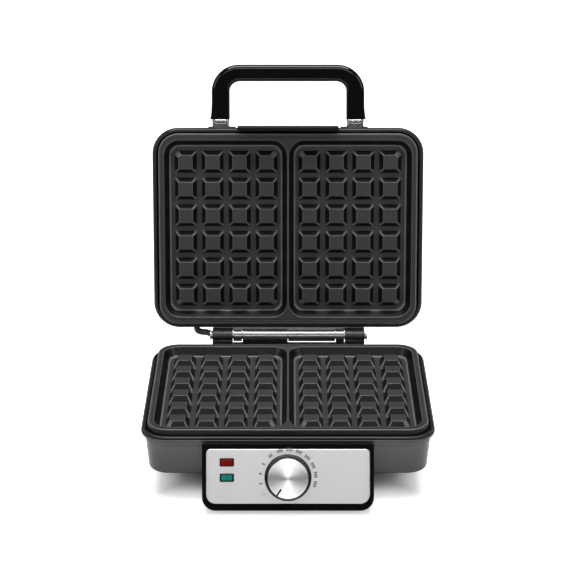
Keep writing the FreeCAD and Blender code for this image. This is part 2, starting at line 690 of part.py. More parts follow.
def hinge_block(label, span, outline, ring):
    """A moulded stop block with a ring round the pin over half its width, clear of the other block's ring."""
    left, right = span
    body = new_body(label + "_body")
    sketch = sketch_on(body, "YZ_Plane", left)
    polygon(sketch, [(hinge_back + y, hinge_height + z) for y, z in outline])
    extrude(body, sketch, right - left)
    other = (left - 1, ring[0]) if ring[1] == right else (ring[1], right + 1)
    clear = rod(label + "_clear", (other[0], hinge_back, hinge_height), 5.45, other[1] - other[0], "X")
    knuckle = rod(label + "_ring", (ring[0], hinge_back, hinge_height), 5.2, ring[1] - ring[0], "X")
    solid = join(label + "_solid", [cut(label + "_half", body, [clear]), knuckle])
    room = rod(label + "_room", (left - 2, hinge_back, hinge_height), pin_room, right - left + 4, "X")
    return name_part(cut(label + "_cut", solid, [room]), label)


for side, span in block_spans.items():
    middle = (span[0] + span[1]) / 2
    low_half, high_half = (span[0], middle - 0.1), (middle + 0.1, span[1])
    inner_half, outer_half = (high_half, low_half) if side == "left" else (low_half, high_half)
    hinge_block(f"base_hinge_block_{side}", span, base_block_outline, inner_half)
    hinge_block(f"lid_hinge_block_{side}", span, lid_block_outline, outer_half)

hole_sides = (-45.0, 0.0, 45.0)
leaf_back = leaf_front + leaf_thick
base_screws, lid_screws = [], []
for i, x in enumerate(hole_sides):
    for set_name, level, screw_list in (("base", hinge_height - 18, base_screws),
                                        ("lid", hinge_height + 18, lid_screws)):
        screw_list.append(rod(f"{set_name}_leaf_screw_{i}", (x, leaf_back, level), 3.4, 1.6, "Y"))
name_part(join("base_leaf_screws", base_screws), "base_hinge_screws")
name_part(in_frame(join("lid_leaf_screws", lid_screws), swing_open), "lid_hinge_screws")

# ---------------------------------------------------------------- handle and latch (drawn closed)
half_grip = handle_thick / 2
grip_depth = 100.0
handle_body = new_body("handle_form")
grip_centre = -(handle_reach - grip_depth / 2)
slab(handle_body, handle_width, grip_depth, 25, handle_level - half_grip, handle_thick,
     across=grip_centre)
inner_depth = grip_depth - 2 * handle_bar
slab(handle_body, handle_width - 2 * handle_leg, inner_depth, 9.5, handle_level - half_grip - 1,
     handle_thick + 2, cutting=True, across=grip_centre)
handle_edges = [at_level(handle_level - half_grip), at_level(handle_level + half_grip)]
round_edges(handle_body, 3.0, lambda edge: any(test(edge) for test in handle_edges))
trim = box("handle_trim", (-90, -collar_front, 60), (180, 80, 50))
name_part(in_frame(cut("handle_cut", handle_body, [trim]), swing_open), "handle")
leg_in = handle_width / 2 - handle_leg
for side, sign in (("left", -1), ("right", 1)):
    leg_x = leg_in + 0.4 if sign > 0 else -(handle_width / 2) + 0.4
    collar = box(f"collar_{side}", (leg_x, -collar_front, handle_level - half_grip + 0.5),
                 (handle_leg - 0.8, collar_front - mount_front, handle_thick - 1), swing_open)
    name_part(collar, f"handle_collar_{side}")
    mount_x = mount_inner if sign > 0 else -mount_outer
    foot = box(f"mount_foot_{side}", (mount_x, -mount_front, lid_lip_top + 0.3),
               (mount_outer - mount_inner, 14, 5.6))
    seat = box(f"mount_seat_{side}", (leg_x, -mount_front, lid_lip_top + 0.3),
               (handle_leg - 0.8, 14, 13.4))
    block = join(f"mount_block_{side}", [foot, seat])
    pin_hole = rod(f"mount_pin_hole_{side}", (-60, -latch_pivot_front, latch_pivot_height), latch_pin,
                   120, "X")
    name_part(in_frame(cut(f"mount_cut_{side}", block, [lid_outer, pin_hole]), swing_open),
              f"handle_mount_{side}")

latch = new_body("latch_form")
sketch = sketch_on(latch, "YZ_Plane", 0)
inner_face = lip_depth / 2 + body_gap
outer_face = inner_face + latch_thick
hook_top = lip_low - 0.4
polygon(sketch, [(-(lip_depth / 2 - hook_grip), hook_top - 1.8), (-(lip_depth / 2 - hook_grip), hook_top),
                 (-inner_face, hook_top), (-inner_face, latch_pivot_height - 2.9),
                 (-latch_pivot_front, latch_pivot_height - 1.0), (-latch_pivot_front, latch_pivot_height + 1.85),
                 (-latch_pivot_front - 1.2, latch_pivot_height + 1.45),
                 (-outer_face, latch_pivot_height - 2.2), (-outer_face, hook_top - 1.8)])
extrude(latch, sketch, 2 * latch_half, midplane=True)
latch_barrel = rod("latch_barrel", (-latch_half, -latch_pivot_front, latch_pivot_height), 1.9,
                   2 * latch_half, "X")
latch_bore = rod("latch_bore", (-60, -latch_pivot_front, latch_pivot_height), latch_pin + pin_play,
                 120, "X")
name_part(in_frame(cut("latch_cut", join("latch_solid", [latch, latch_barrel]), [latch_bore]), swing_open),
          "latch_clip")
pins = [rod(f"latch_pin_{i}", (x, -latch_pivot_front, latch_pivot_height), latch_pin, 12, "X")
        for i, x in enumerate((-latch_half - 6, latch_half - 6))]
name_part(in_frame(join("latch_pin_set", pins), swing_open), "latch_pins")

# ---------------------------------------------------------------- heaters and reflectors
element_level = -(well_sink + plate_floor + element_radius + 0.1)
clamp_points = [(-86.0, 0.0), (86.0, 0.0), (0.0, -56.0)]


def heater(label, frame):
    """A tubular element bent once round the plate, its two ends side by side at the back."""
    level = element_level.value
    route = [V(-16, 56, level), V(-60, 56, level), V(-86, 40, level), V(-86, -40, level),
             V(-60, -56, level), V(60, -56, level), V(86, -40, level), V(86, 40, level),
             V(60, 56, level), V(16, 56, level)]
    shape, radii = tube(route, element_radius.value)
    item = doc.addObject("Part::Feature", label)
    item.Shape = shape
    return name_part(in_frame(item, frame), label)


def element_clamps(label, frame):
    """U-shaped straps that hold the element up against the plate."""
    under = element_level - element_radius
    straps = []
    for i, (x, y) in enumerate(clamp_points):
        along_x = abs(x) > 0
        half_x, half_y = (8, 5) if along_x else (5, 8)
        strap = box(f"{label}_strap_{i}", (x - half_x, y - half_y, under - 1.4),
                    (2 * half_x, 2 * half_y, 1.2))
        legs = []
        for side in (-1, 1):
            leg_x = x + side * (half_x - 1) - 1 if along_x else x - half_x
            leg_y = y - half_y if along_x else y + side * (half_y - 1) - 1
            legs.append(box(f"{label}_leg_{i}_{side + 1}", (leg_x, leg_y, under - 1.4),
                            (2 if along_x else 2 * half_x, 2 * half_y if along_x else 2,
                             1.5 + 2 * element_radius)))
        straps.append(join(f"{label}_clamp_{i}", [strap] + legs))
    return name_part(in_frame(join(label + "_set", straps), frame), label)


screw_places = [(x, y) for x in (-100.0, 100.0) for y in (-68.0, 68.0)]
reflector_level = element_level - element_radius - 5


def reflector(label, frame):
    """A bright sheet behind the element, on the plate's four screws."""
    body = new_body(label + "_sheet", frame)
    slab(body, 224, 160, 16, reflector_level, 0.8)
    holes = [rod(f"{label}_hole_{i}", (x, y, reflector_level - 1), 2.1, 3, frame=frame)
             for i, (x, y) in enumerate(screw_places)]
    return name_part(cut(label + "_cut", body, holes), label)


def plate_screws(label, frame):
    """Four screws from behind the reflector up to the plate's underside."""
    screws = []
    for i, (x, y) in enumerate(screw_places):
        top = -(well_sink + plate_floor)
        shank = rod(f"{label}_shank_{i}", (x, y, reflector_level - 1.9), 2.0,
                    top - reflector_level + 1.85)
        head = rod(f"{label}_head_{i}", (x, y, reflector_level - 2), 4.0, 1.95)
        screws.append(join(f"{label}_{i}", [shank, head]))
    return name_part(in_frame(join(label + "_set", screws), frame), label)


for level, frame in (("lower", base_plate_frame), ("upper", lid_plate_frame)):
    heater(f"{level}_element", frame)
    element_clamps(f"{level}_element_clamps", frame)
    reflector(f"{level}_reflector", frame)
    plate_screws(f"{level}_plate_screws", frame)

# ---------------------------------------------------------------- wiring pieces in the base
floor_level = casing_bottom + bottom_thick
name_part(box("terminal_strip", (20, 30, floor_level), (36, 12, 9)), "terminal_block")
name_part(rod("fuse_can", (-30, 20, floor_level + 4.1), 4.0, 28, "X"), "thermal_fuse")

gland_sleeve = join("gland_solid", [rod("gland_sleeve", (gland_side, 82, gland_height), 6.0, 10.5, "Y"),
                                    rod("gland_flange", (gland_side, 89.9, gland_height), 8.5, 2.6, "Y")])
name_part(cut("gland_cut", gland_sleeve, [rod("gland_bore_hole", (gland_side, 78, gland_height),
                                              gland_bore, 20, "Y")]), "cord_gland")
base_grommet = cut("base_grommet_cut",
                   join("base_grommet_solid", [
                       rod("base_grommet_sleeve", (lead_side, 84, lead_level), grommet_radius, 12.5, "Y"),
                       rod("base_grommet_flange", (lead_side, leaf_front + 0.05, lead_level), 4.9, 2.2,
                           "Y")]),
                   [rod("base_grommet_bore", (lead_side, 78, lead_level), lead_radius + 0.05, 24, "Y")])
name_part(base_grommet, "base_lead_grommet")
lid_grommet = cut("lid_grommet_cut",
                  rod("lid_grommet_sleeve", (lid_lead_side, 84, lid_lead_level), grommet_radius, 9, "Y"),
                  [rod("lid_grommet_bore", (lid_lead_side, 78, lid_lead_level), lead_radius + 0.05, 20,
                       "Y")])
name_part(in_frame(lid_grommet, swing_open), "lid_lead_grommet")
lid_entry = swing_open.multVec(V(lid_lead_side, 87.5, lid_lead_level))
lid_outward = swing_open.Rotation.multVec(V(0, 1, 0))
lead_route = [V(lead_side, 88, lead_level), V(lead_side, 106, lead_level), V(-62, 116, 45),
              V(-67, 119, 56), V(-75, 121.5, 62), lid_entry + lid_outward * 12, lid_entry]
lead_shape, lead_radii = tube(lead_route, lead_radius.value)
lead = doc.addObject("Part::Feature", "lead")
lead.Shape = lead_shape
name_part(lead, "lid_lead")
print("lead arc radii", [round(radius, 1) for radius in lead_radii],
      "length", round(lead_shape.Volume / (math.pi * lead_radius.value ** 2), 1))

# ---------------------------------------------------------------- check and write
doc.recompute()
broken = [item.Name for item in doc.Objects if {"Invalid", "Error"} & set(item.State)]
if broken:
    raise RuntimeError(f"failed objects: {broken}")
bounds = Part.makeCompound([item.Shape for item in parts.values()]).optimalBoundingBox(False)
to_origin = V(0, -round((bounds.YMin + bounds.YMax) / 2, 3), 0)
print("the row's origin is under the middle of the machine, set back by", -to_origin.y)
os.makedirs("parts", exist_ok=True)
for label, item in parts.items():
    shape = item.Shape
    if shape.isNull() or not shape.isValid() or not shape.Solids:
        raise RuntimeError(f"{label} has no valid shape")
    shape = shape.copy()
    shape.translate(to_origin)
    shape.exportStep(f"parts/{label}.step")
    print(f"{label}: {len(shape.Solids)} solids, {shape.Volume / 1000:.1f} cm3")
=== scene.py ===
"""Looks for the waffle maker: finer casings, plates, panel, dial and handle round the CAD frame."""
import bmesh
import bpy
import json
import math
from mathutils import Matrix, Vector


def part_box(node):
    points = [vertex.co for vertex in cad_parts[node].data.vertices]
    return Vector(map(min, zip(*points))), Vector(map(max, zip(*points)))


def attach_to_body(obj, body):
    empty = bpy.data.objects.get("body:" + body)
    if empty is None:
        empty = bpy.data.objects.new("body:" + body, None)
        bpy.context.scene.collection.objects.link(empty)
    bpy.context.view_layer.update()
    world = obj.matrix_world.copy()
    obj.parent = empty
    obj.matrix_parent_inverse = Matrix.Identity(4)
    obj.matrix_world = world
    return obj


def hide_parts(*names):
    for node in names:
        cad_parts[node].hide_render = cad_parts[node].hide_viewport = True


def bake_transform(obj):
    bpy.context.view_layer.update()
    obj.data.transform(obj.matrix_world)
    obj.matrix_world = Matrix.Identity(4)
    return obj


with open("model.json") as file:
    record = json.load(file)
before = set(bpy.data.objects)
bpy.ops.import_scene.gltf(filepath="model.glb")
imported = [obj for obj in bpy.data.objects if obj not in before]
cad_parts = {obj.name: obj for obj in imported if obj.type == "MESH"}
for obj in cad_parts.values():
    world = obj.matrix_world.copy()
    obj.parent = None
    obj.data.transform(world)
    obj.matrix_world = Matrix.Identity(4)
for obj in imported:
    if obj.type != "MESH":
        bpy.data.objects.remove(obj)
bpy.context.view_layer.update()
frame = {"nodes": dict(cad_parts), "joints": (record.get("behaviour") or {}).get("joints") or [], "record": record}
MM = 0.001
nodes = frame["nodes"]
joints = {joint["name"]: joint for joint in frame["joints"]}


# ------------------------------------------------------------------ places read from the frame
def corners(node):
    """A CAD node's lowest and highest corners in millimetres."""
    low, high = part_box(node)
    return low / MM, high / MM


plate_low, plate_high = corners("lower_plate")
casing_low, casing_high = corners("base_casing")
RIM = plate_high.z                                   # meeting plane of the plates
PLATE_GAP = 0.5
hinge = joints["lid_hinge"]
HINGE = Vector(hinge["pos_m"]) / MM
OPEN = math.radians(hinge["range_deg"][1])
swing = Matrix.Translation(HINGE) @ Matrix.Rotation(-OPEN, 4, "X") @ Matrix.Translation(-HINGE)
knob_joint = joints["knob_turn"]
KNOB = Vector(knob_joint["pos_m"]) / MM
panel_out = -Vector(knob_joint["axis"])
panel_up = panel_out.cross(Vector((1, 0, 0)))
panel = Matrix.Translation(KNOB) @ Matrix(((1, panel_up.x, panel_out.x),
                                           (0, panel_up.y, panel_out.y),
                                           (0, panel_up.z, panel_out.z))).to_4x4()
PLATE_Y = (plate_low.y + plate_high.y) / 2
BASE = Matrix.Translation((0, PLATE_Y, RIM))               # rim plane up, the casing below it
LID = swing @ Matrix.Translation((0, PLATE_Y, RIM + PLATE_GAP)) @ Matrix.Rotation(math.pi, 4, "X")


# ------------------------------------------------------------------ mesh helpers
def rounded_loop(width, depth, radii, level, centre=(0, 0), steps=8):
    """Points round a rectangle, counterclockwise from its right front corner.

    radii is one radius, or four: right front, right back, left back, left front.
    """
    radii = radii if isinstance(radii, (list, tuple)) else [radii] * 4
    points = []
    for index, (sx, sy) in enumerate(((1, -1), (1, 1), (-1, 1), (-1, -1))):
        r = max(radii[index], 0)
        middle = Vector((centre[0] + sx * (width / 2 - r), centre[1] + sy * (depth / 2 - r), level))
        for step in range(steps + 1):
            angle = math.radians(-90 + 90 * index + 90 * step / steps)
            points.append(middle + Vector((r * math.cos(angle), r * math.sin(angle), 0)))
    return points


def circle_loop(radius, level, steps=64):
    return [Vector((radius * math.cos(2 * math.pi * i / steps), radius * math.sin(2 * math.pi * i / steps),
                    level)) for i in range(steps)]


def add_loops(bm, loops, cap_first=False, cap_last=False, closed=False):
    """Skin successive loops of points, all of one length."""
    rings = [[bm.verts.new(point) for point in loop] for loop in loops]
    pairs = list(zip(rings, rings[1:]))
    if closed:
        pairs.append((rings[-1], rings[0]))
    for ring, following in pairs:
        for i in range(len(ring)):
            j = (i + 1) % len(ring)
            bm.faces.new((ring[i], ring[j], following[j], following[i]))
    if cap_first:
        bm.faces.new(rings[0][::-1])
    if cap_last:
        bm.faces.new(rings[-1])
    return rings


def mark_relief(bm, upright_edges=False):
    """Store which faces are level and which are rolled edges, so that the finish paints shade on slopes and an
    edge tone on rolled edges.
    """
    bm.normal_update()
    level = bm.faces.layers.float.new("level")
    edge = bm.faces.layers.float.new("edge")
    for face in bm.faces:
        rise = abs(face.normal.z)
        sides = sorted((abs(face.normal.x), abs(face.normal.y)))
        # Faces that are not level get painted shade; rolled edges and upright pad corners get the painted edge
        # tone, which is weaker near the floor.
        face[level] = 1.0 if rise > 0.985 else 0.0
        rolled = 0.6 < rise <= 0.985
        arris = upright_edges and 0.3 < rise <= 0.6 and sides[0] > 0.6 * sides[1]
        low = upright_edges and face.calc_center_median().z < 1.0
        face[edge] = (0.35 if low else 1.0) if rolled or arris else 0.0


def inset_of(point, radius=24.0):
    """How far a point stands inside the lip's rounded outline."""
    x = abs(point.x) - (LIP_WIDTH / 2 - radius)
    y = abs(point.y) - (LIP_DEPTH / 2 - radius)
    return radius - math.hypot(max(x, 0), max(y, 0)) - min(max(x, y), 0)


def mark_casing(bm, depth):
    """Store the marks for painted shade: full inside the shell and in the lip's groove, growing towards the bottom
    of the outer wall, and the darker edge tone on the rolled lip.
    """
    bm.normal_update()
    level = bm.faces.layers.float.new("level")
    edge = bm.faces.layers.float.new("edge")
    for face in bm.faces:
        centre = face.calc_center_median()
        inside = inset_of(centre) > max(3.8, wall_at(-centre.z) + 1.2) and -centre.z < depth
        below = -LIP_TOP - centre.z
        # painted shade, darker towards the bottom of the wall
        shaded = 0.0 if below < 9 else min((below - 9) / 60, 0.45)
        face[level] = 0.0 if inside or 1.3 < below < 2.4 else 1.0 - shaded
        # the lip's top, and its front face at half strength, get the darker edge tone: painted shade
        if inside or below > 5.1:
            face[edge] = 0.0
        else:
            face[edge] = 1.0 if below < 1.2 else 0.45


def finish_mesh(bm, name, place, material, smooth_angle=40):
    """Clean, place and scale a mesh in millimetres, and make it an object at the origin."""
    bmesh.ops.remove_doubles(bm, verts=bm.verts, dist=0.002)
    bmesh.ops.dissolve_degenerate(bm, edges=bm.edges, dist=0.001)
    bmesh.ops.transform(bm, matrix=Matrix.Scale(MM, 4) @ place, verts=bm.verts)
    bmesh.ops.recalc_face_normals(bm, faces=bm.faces)
    mesh = bpy.data.meshes.new(name)
    bm.to_mesh(mesh)
    bm.free()
    return finish_object(mesh, name, material, smooth_angle)


def finish_object(mesh, name, material, smooth_angle=40):
    mesh.shade_smooth()
    mesh.set_sharp_from_angle(angle=math.radians(smooth_angle))
    piece = bpy.data.objects.new(name, mesh)
    bpy.context.scene.collection.objects.link(piece)
    if material is not None:
        mesh.materials.clear()
        mesh.materials.append(material)
    return settle_normals(piece)


def settle_normals(piece):
    """Let broad faces keep their own direction, so that only the rolled edges are shaded round."""
    weighted = piece.modifiers.new("normals", "WEIGHTED_NORMAL")
    weighted.keep_sharp = True
    weighted.weight = 50
    return bake(piece)


def bake(piece):
    """Turn an object's modifiers into plain mesh."""
    bpy.context.view_layer.update()
    evaluated = piece.evaluated_get(bpy.context.evaluated_depsgraph_get())
    mesh = bpy.data.meshes.new_from_object(evaluated)
    piece.modifiers.clear()
    old = piece.data
    piece.data = mesh
    mesh.name = old.name + "_made"
    return piece


def attach(piece, body, slot, *replaced):
    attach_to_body(piece, body)
    if replaced:
        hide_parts(*replaced)
    return piece


def soften(node, body, slot, material, width=0.6, segments=3, limit=32):
    """A copy of a CAD node with its hard edges rolled over."""
    bm = bmesh.new()
    bm.from_mesh(nodes[node].data)
    bmesh.ops.remove_doubles(bm, verts=bm.verts, dist=1e-6)
    bmesh.ops.dissolve_limit(bm, angle_limit=math.radians(1.0), verts=bm.verts, edges=bm.edges)
    mesh = bpy.data.meshes.new(node + "_soft")
    bm.to_mesh(mesh)
    bm.free()
    piece = finish_object(mesh, node + "_soft", material)
    bevel = piece.modifiers.new("edges", "BEVEL")
    bevel.width = width * MM
    bevel.segments = segments
    bevel.limit_method = "ANGLE"
    bevel.angle_limit = math.radians(limit)
    bevel.use_clamp_overlap = True
    bake(piece)
    piece.data.shade_smooth()
    piece.data.set_sharp_from_angle(angle=math.radians(50))
    settle_normals(piece)
    return attach(piece, body, slot, node)


# ------------------------------------------------------------------ shader groups
def new_group(name, inputs, outputs):
    group = bpy.data.node_groups.new(name, "ShaderNodeTree")
    for label, kind, value in inputs:
        socket = group.interface.new_socket(label, in_out="INPUT", socket_type=kind)
        if value is not None:
            socket.default_value = value
    for label, kind in outputs:
        group.interface.new_socket(label, in_out="OUTPUT", socket_type=kind)
    return group, group.nodes.new("NodeGroupInput"), group.nodes.new("NodeGroupOutput")


def make_grain_group():
    """Noise at one scale, stretched along an axis, mapped between two values, with its height."""
    group, start, end = new_group(
        "grain", [("Vector", "NodeSocketVector", None), ("Scale", "NodeSocketFloat", 800.0),
                  ("Detail", "NodeSocketFloat", 2.0), ("Low", "NodeSocketFloat", 0.3),
                  ("High", "NodeSocketFloat", 0.5)],
        [("Value", "NodeSocketFloat"), ("Height", "NodeSocketFloat")])
    noise = group.nodes.new("ShaderNodeTexNoise")
    spread = group.nodes.new("ShaderNodeMapRange")
    spread.inputs["From Min"].default_value = 0.3
    spread.inputs["From Max"].default_value = 0.7
    link = group.links.new
    link(start.outputs["Vector"], noise.inputs["Vector"])
    link(start.outputs["Scale"], noise.inputs["Scale"])
    link(start.outputs["Detail"], noise.inputs["Detail"])
    link(noise.outputs["Fac"], spread.inputs["Value"])
    link(start.outputs["Low"], spread.inputs["To Min"])
    link(start.outputs["High"], spread.inputs["To Max"])
    link(spread.outputs["Result"], end.inputs["Value"])
    link(noise.outputs["Fac"], end.inputs["Height"])
    return group


grain_group = make_grain_group()


def new_material(name):
    material = bpy.data.materials.new(name)
    material.use_nodes = True
    return material, material.node_tree, material.node_tree.nodes["Principled BSDF"]


def place_grain(tree, stretch, scale, detail, low, high, turn=(0, 0, 0), centre=(0, 0, 0), coords="Object"):
    """A grain group that reads the piece's own coordinates."""
    coordinates = tree.nodes.new("ShaderNodeTexCoord")
    mapping = tree.nodes.new("ShaderNodeMapping")
    mapping.vector_type = "POINT"
    mapping.inputs["Scale"].default_value = stretch
    mapping.inputs["Rotation"].default_value = turn
    mapping.inputs["Location"].default_value = centre
    grain = tree.nodes.new("ShaderNodeGroup")
    grain.node_tree = grain_group
    for label, value in (("Scale", scale), ("Detail", detail), ("Low", low), ("High", high)):
        grain.inputs[label].default_value = value
    tree.links.new(coordinates.outputs[coords], mapping.inputs["Vector"])
    tree.links.new(mapping.outputs["Vector"], grain.inputs["Vector"])
    return grain


def add_bump(tree, shader, height, strength, distance):
    bump = tree.nodes.new("ShaderNodeBump")
    bump.inputs["Strength"].default_value = strength
    bump.inputs["Distance"].default_value = distance
    tree.links.new(height, bump.inputs["Height"])
    tree.links.new(bump.outputs["Normal"], shader.inputs["Normal"])
    return bump


def tint(tree, shader, mask, dark, light):
    """Base colour that wanders between two shades."""
    mix = tree.nodes.new("ShaderNodeMix")
    mix.data_type = "RGBA"
    mix.inputs["A"].default_value = (*dark, 1)
    mix.inputs["B"].default_value = (*light, 1)
    tree.links.new(mask, mix.inputs["Factor"])
    tree.links.new(mix.outputs["Result"], shader.inputs["Base Color"])


def grey(value):
    return (value, value, value)


def textured(name, dark, light, rough, metallic=0.0, scale=900.0, stretch=(1, 1, 1), bump=0.15,
             bump_height=0.00004, detail=2.0, turn=(0, 0, 0)):
    """A finish whose colour, roughness and relief all come from fine grain."""
    material, tree, shader = new_material(name)
    grain = place_grain(tree, stretch, scale, detail, rough[0], rough[1], turn)
    tree.links.new(grain.outputs["Value"], shader.inputs["Roughness"])
    tint(tree, shader, grain.outputs["Height"], dark, light)
    shader.inputs["Metallic"].default_value = metallic
    if bump:
        add_bump(tree, shader, grain.outputs["Height"], bump, bump_height)
    return material, tree, shader


def shade_by_relief(tree, shader, slope_shade, edge):
    """Paint shade over faces not marked level, and paint the edge tone over rolled edges: a painted highlight
    where that tone is lighter, painted shade where it is darker.
    """
    colour = shader.inputs["Base Color"].links[0].from_socket
    level = tree.nodes.new("ShaderNodeAttribute")
    level.attribute_name = "level"
    mix = tree.nodes.new("ShaderNodeMix")
    mix.data_type = "RGBA"
    mix.inputs["A"].default_value = (*slope_shade, 1)
    tree.links.new(colour, mix.inputs["B"])
    tree.links.new(level.outputs["Fac"], mix.inputs["Factor"])
    colour = mix.outputs["Result"]
    rolled = tree.nodes.new("ShaderNodeAttribute")
    rolled.attribute_name = "edge"
    mix = tree.nodes.new("ShaderNodeMix")
    mix.data_type = "RGBA"
    mix.inputs["B"].default_value = (*edge, 1)
    tree.links.new(colour, mix.inputs["A"])
    tree.links.new(rolled.outputs["Fac"], mix.inputs["Factor"])
    tree.links.new(mix.outputs["Result"], shader.inputs["Base Color"])


# ------------------------------------------------------------------ finishes
satin_casing, tree, shader = textured("satin_casing", grey(0.060), grey(0.072), (0.26, 0.32), 0.35,
                                      scale=2600.0, bump=0.05, bump_height=0.00001)
# Painted shade: full inside the shell and in the lip's groove, growing towards the bottom of the wall, and the
# darker edge tone on the lip's top and front.
shade_by_relief(tree, shader, grey(0.004), grey(0.020))
nonstick, tree, shader = textured("nonstick", grey(0.006), grey(0.044), (0.40, 0.55), 0.0, scale=1500.0,
                                  bump=0.30, bump_height=0.00003, detail=3.0)
shader.inputs["Specular IOR Level"].default_value = 0.24
shader.inputs["Coat Weight"].default_value = 0.08
shader.inputs["Coat Roughness"].default_value = 0.14
# Painted shade on every face that is not level (pad sides, well walls, skirt) and a painted highlight on the
# rolled edges of wells and pads.
shade_by_relief(tree, shader, grey(0.001), grey(0.085))
gloss_black, tree, shader = textured("gloss_black", grey(0.0025), grey(0.0035), (0.05, 0.08), 0.0,
                                     scale=60.0, bump=0.0)
shader.inputs["Specular IOR Level"].default_value = 0.32
latch_black, tree, shader = textured("latch_black", grey(0.0025), grey(0.0035), (0.3, 0.36), 0.0,
                                     scale=60.0, bump=0.0)
shader.inputs["Specular IOR Level"].default_value = 0.15
matte_black, tree, shader = textured("matte_black", grey(0.005), grey(0.009), (0.42, 0.55), 0.0,
                                     scale=1500.0, bump=0.25)
knob_black, tree, shader = textured("knob_black", grey(0.006), grey(0.009), (0.22, 0.30), 0.0,
                                    scale=900.0, bump=0.05)
rubber, tree, shader = textured("rubber", grey(0.012), grey(0.02), (0.6, 0.75), 0.0, scale=1200.0)
lead_sheath, tree, shader = textured("lead_sheath", grey(0.05), grey(0.07), (0.4, 0.5), 0.0,
                                     scale=700.0, bump=0.1)
satin_steel, tree, shader = textured("satin_steel", grey(0.19), grey(0.26), (0.26, 0.36), 1.0,
                                     scale=500.0, stretch=(0.05, 1, 1), bump=0.1)
zinc, tree, shader = textured("zinc", grey(0.40), grey(0.55), (0.28, 0.4), 1.0, scale=300.0, bump=0.05)
chrome, tree, shader = textured("chrome", grey(0.86), grey(0.92), (0.16, 0.22), 1.0, scale=80.0, bump=0.0)
ceramic, tree, shader = textured("ceramic", (0.62, 0.60, 0.55), (0.7, 0.68, 0.62), (0.5, 0.6), scale=400.0)
element_steel, tree, shader = textured("element_steel", (0.10, 0.09, 0.08), (0.2, 0.17, 0.13), (0.35, 0.5),
                                       0.8, scale=40.0)
reflector_sheet, tree, shader = textured("reflector_sheet", grey(0.6), grey(0.7), (0.2, 0.35), 1.0,
                                         scale=200.0)
print_grey, tree, shader = textured("print_grey", grey(0.10), grey(0.13), (0.5, 0.6), scale=2000.0, bump=0.0)
print_pale, tree, shader = textured("print_pale", grey(0.30), grey(0.36), (0.5, 0.6), scale=2000.0, bump=0.0)
lamp_glass, tree, shader = new_material("lamp_glass")
shader.inputs["Base Color"].default_value = (0.9, 0.9, 0.9, 1)
shader.inputs["Roughness"].default_value = 0.05
shader.inputs["Transmission Weight"].default_value = 1.0

brushed, tree, shader = textured("brushed_fascia", grey(0.56), grey(0.60), (0.34, 0.40), 1.0,
                                 scale=2600.0, stretch=(0.02, 1, 1), bump=0.10, bump_height=0.00001)
shader.inputs["Anisotropic"].default_value = 0.6
tangent = tree.nodes.new("ShaderNodeTangent")
tangent.direction_type = "UV_MAP"
tangent.uv_map = "brush"
tree.links.new(tangent.outputs["Tangent"], shader.inputs["Tangent"])
spun, tree, shader = textured("spun_aluminium", grey(0.93), grey(0.96), (0.36, 0.40), 1.0, scale=100.0,
                              bump=0.0)
shader.inputs["Anisotropic"].default_value = 0.75
tangent = tree.nodes.new("ShaderNodeTangent")
tangent.direction_type = "UV_MAP"
tangent.uv_map = "turned"
tree.links.new(tangent.outputs["Tangent"], shader.inputs["Tangent"])


def lens_material(name, deep, bright):
    material, tree, shader = textured(name, deep, bright, (0.12, 0.2), scale=500.0, bump=0.1)
    shader.inputs["Specular IOR Level"].default_value = 0.1
    shader.inputs["Coat Weight"].default_value = 0.03
    shader.inputs["Coat Roughness"].default_value = 0.12
    return material


# Each lamp lens is one coloured plastic: the rim block is painted darker as painted shade, and the raised panes
# are painted brighter as painted light.
red_rim = lens_material("red_rim", (0.03, 0.002, 0.0015), (0.05, 0.003, 0.002))
red_glow = lens_material("red_glow", (0.10, 0.003, 0.002), (0.16, 0.005, 0.003))
green_rim = lens_material("green_rim", (0.001, 0.014, 0.012), (0.002, 0.022, 0.02))
green_glow = lens_material("green_glow", (0.003, 0.10, 0.085), (0.006, 0.18, 0.15))

FINISHES = {
    "satin_casing": satin_casing, "nonstick": nonstick, "matte_black": matte_black,
    "gloss_black": gloss_black, "knob_black": knob_black, "rubber": rubber, "brushed_fascia": brushed,
    "spun_aluminium": spun, "satin_steel": satin_steel, "zinc_plate": zinc, "zinc_screw": zinc,
    "chrome": chrome, "red_lens": red_glow, "green_lens": green_glow, "lamp_glass": lamp_glass,
    "ceramic_white": ceramic, "element_steel": element_steel, "reflector_sheet": reflector_sheet,
    "lead_sheath": lead_sheath}
slots = {entry["node"]: entry["material_slot"] for entry in frame["record"]["subparts"]}
for node, piece in nodes.items():
    piece.data.materials.clear()
    piece.data.materials.append(FINISHES[slots[node]])

# ------------------------------------------------------------------ casings
LIP_WIDTH, LIP_DEPTH, LIP_CORNER = 251.8, 187.8, 24.0
CASING_STEPS = 14


def casing_loops(profile):
    """Loops round a casing from (inset from the lip's outline, depth below the rim) pairs."""
    loops = []
    for inset, depth in profile:
        loops.append(rounded_loop(LIP_WIDTH - 2 * inset, LIP_DEPTH - 2 * inset, LIP_CORNER - inset, -depth,
                                  steps=CASING_STEPS))
    return loops


def arc_profile(centre, radius, first, last, steps=5):
    """Points of a profile along a round corner; angles in degrees, 0 outwards and 90 up."""
    points = []
    for step in range(steps + 1):
        angle = math.radians(first + (last - first) * step / steps)
        points.append((centre[0] - radius * math.cos(angle), centre[1] - radius * math.sin(angle)))
    return points


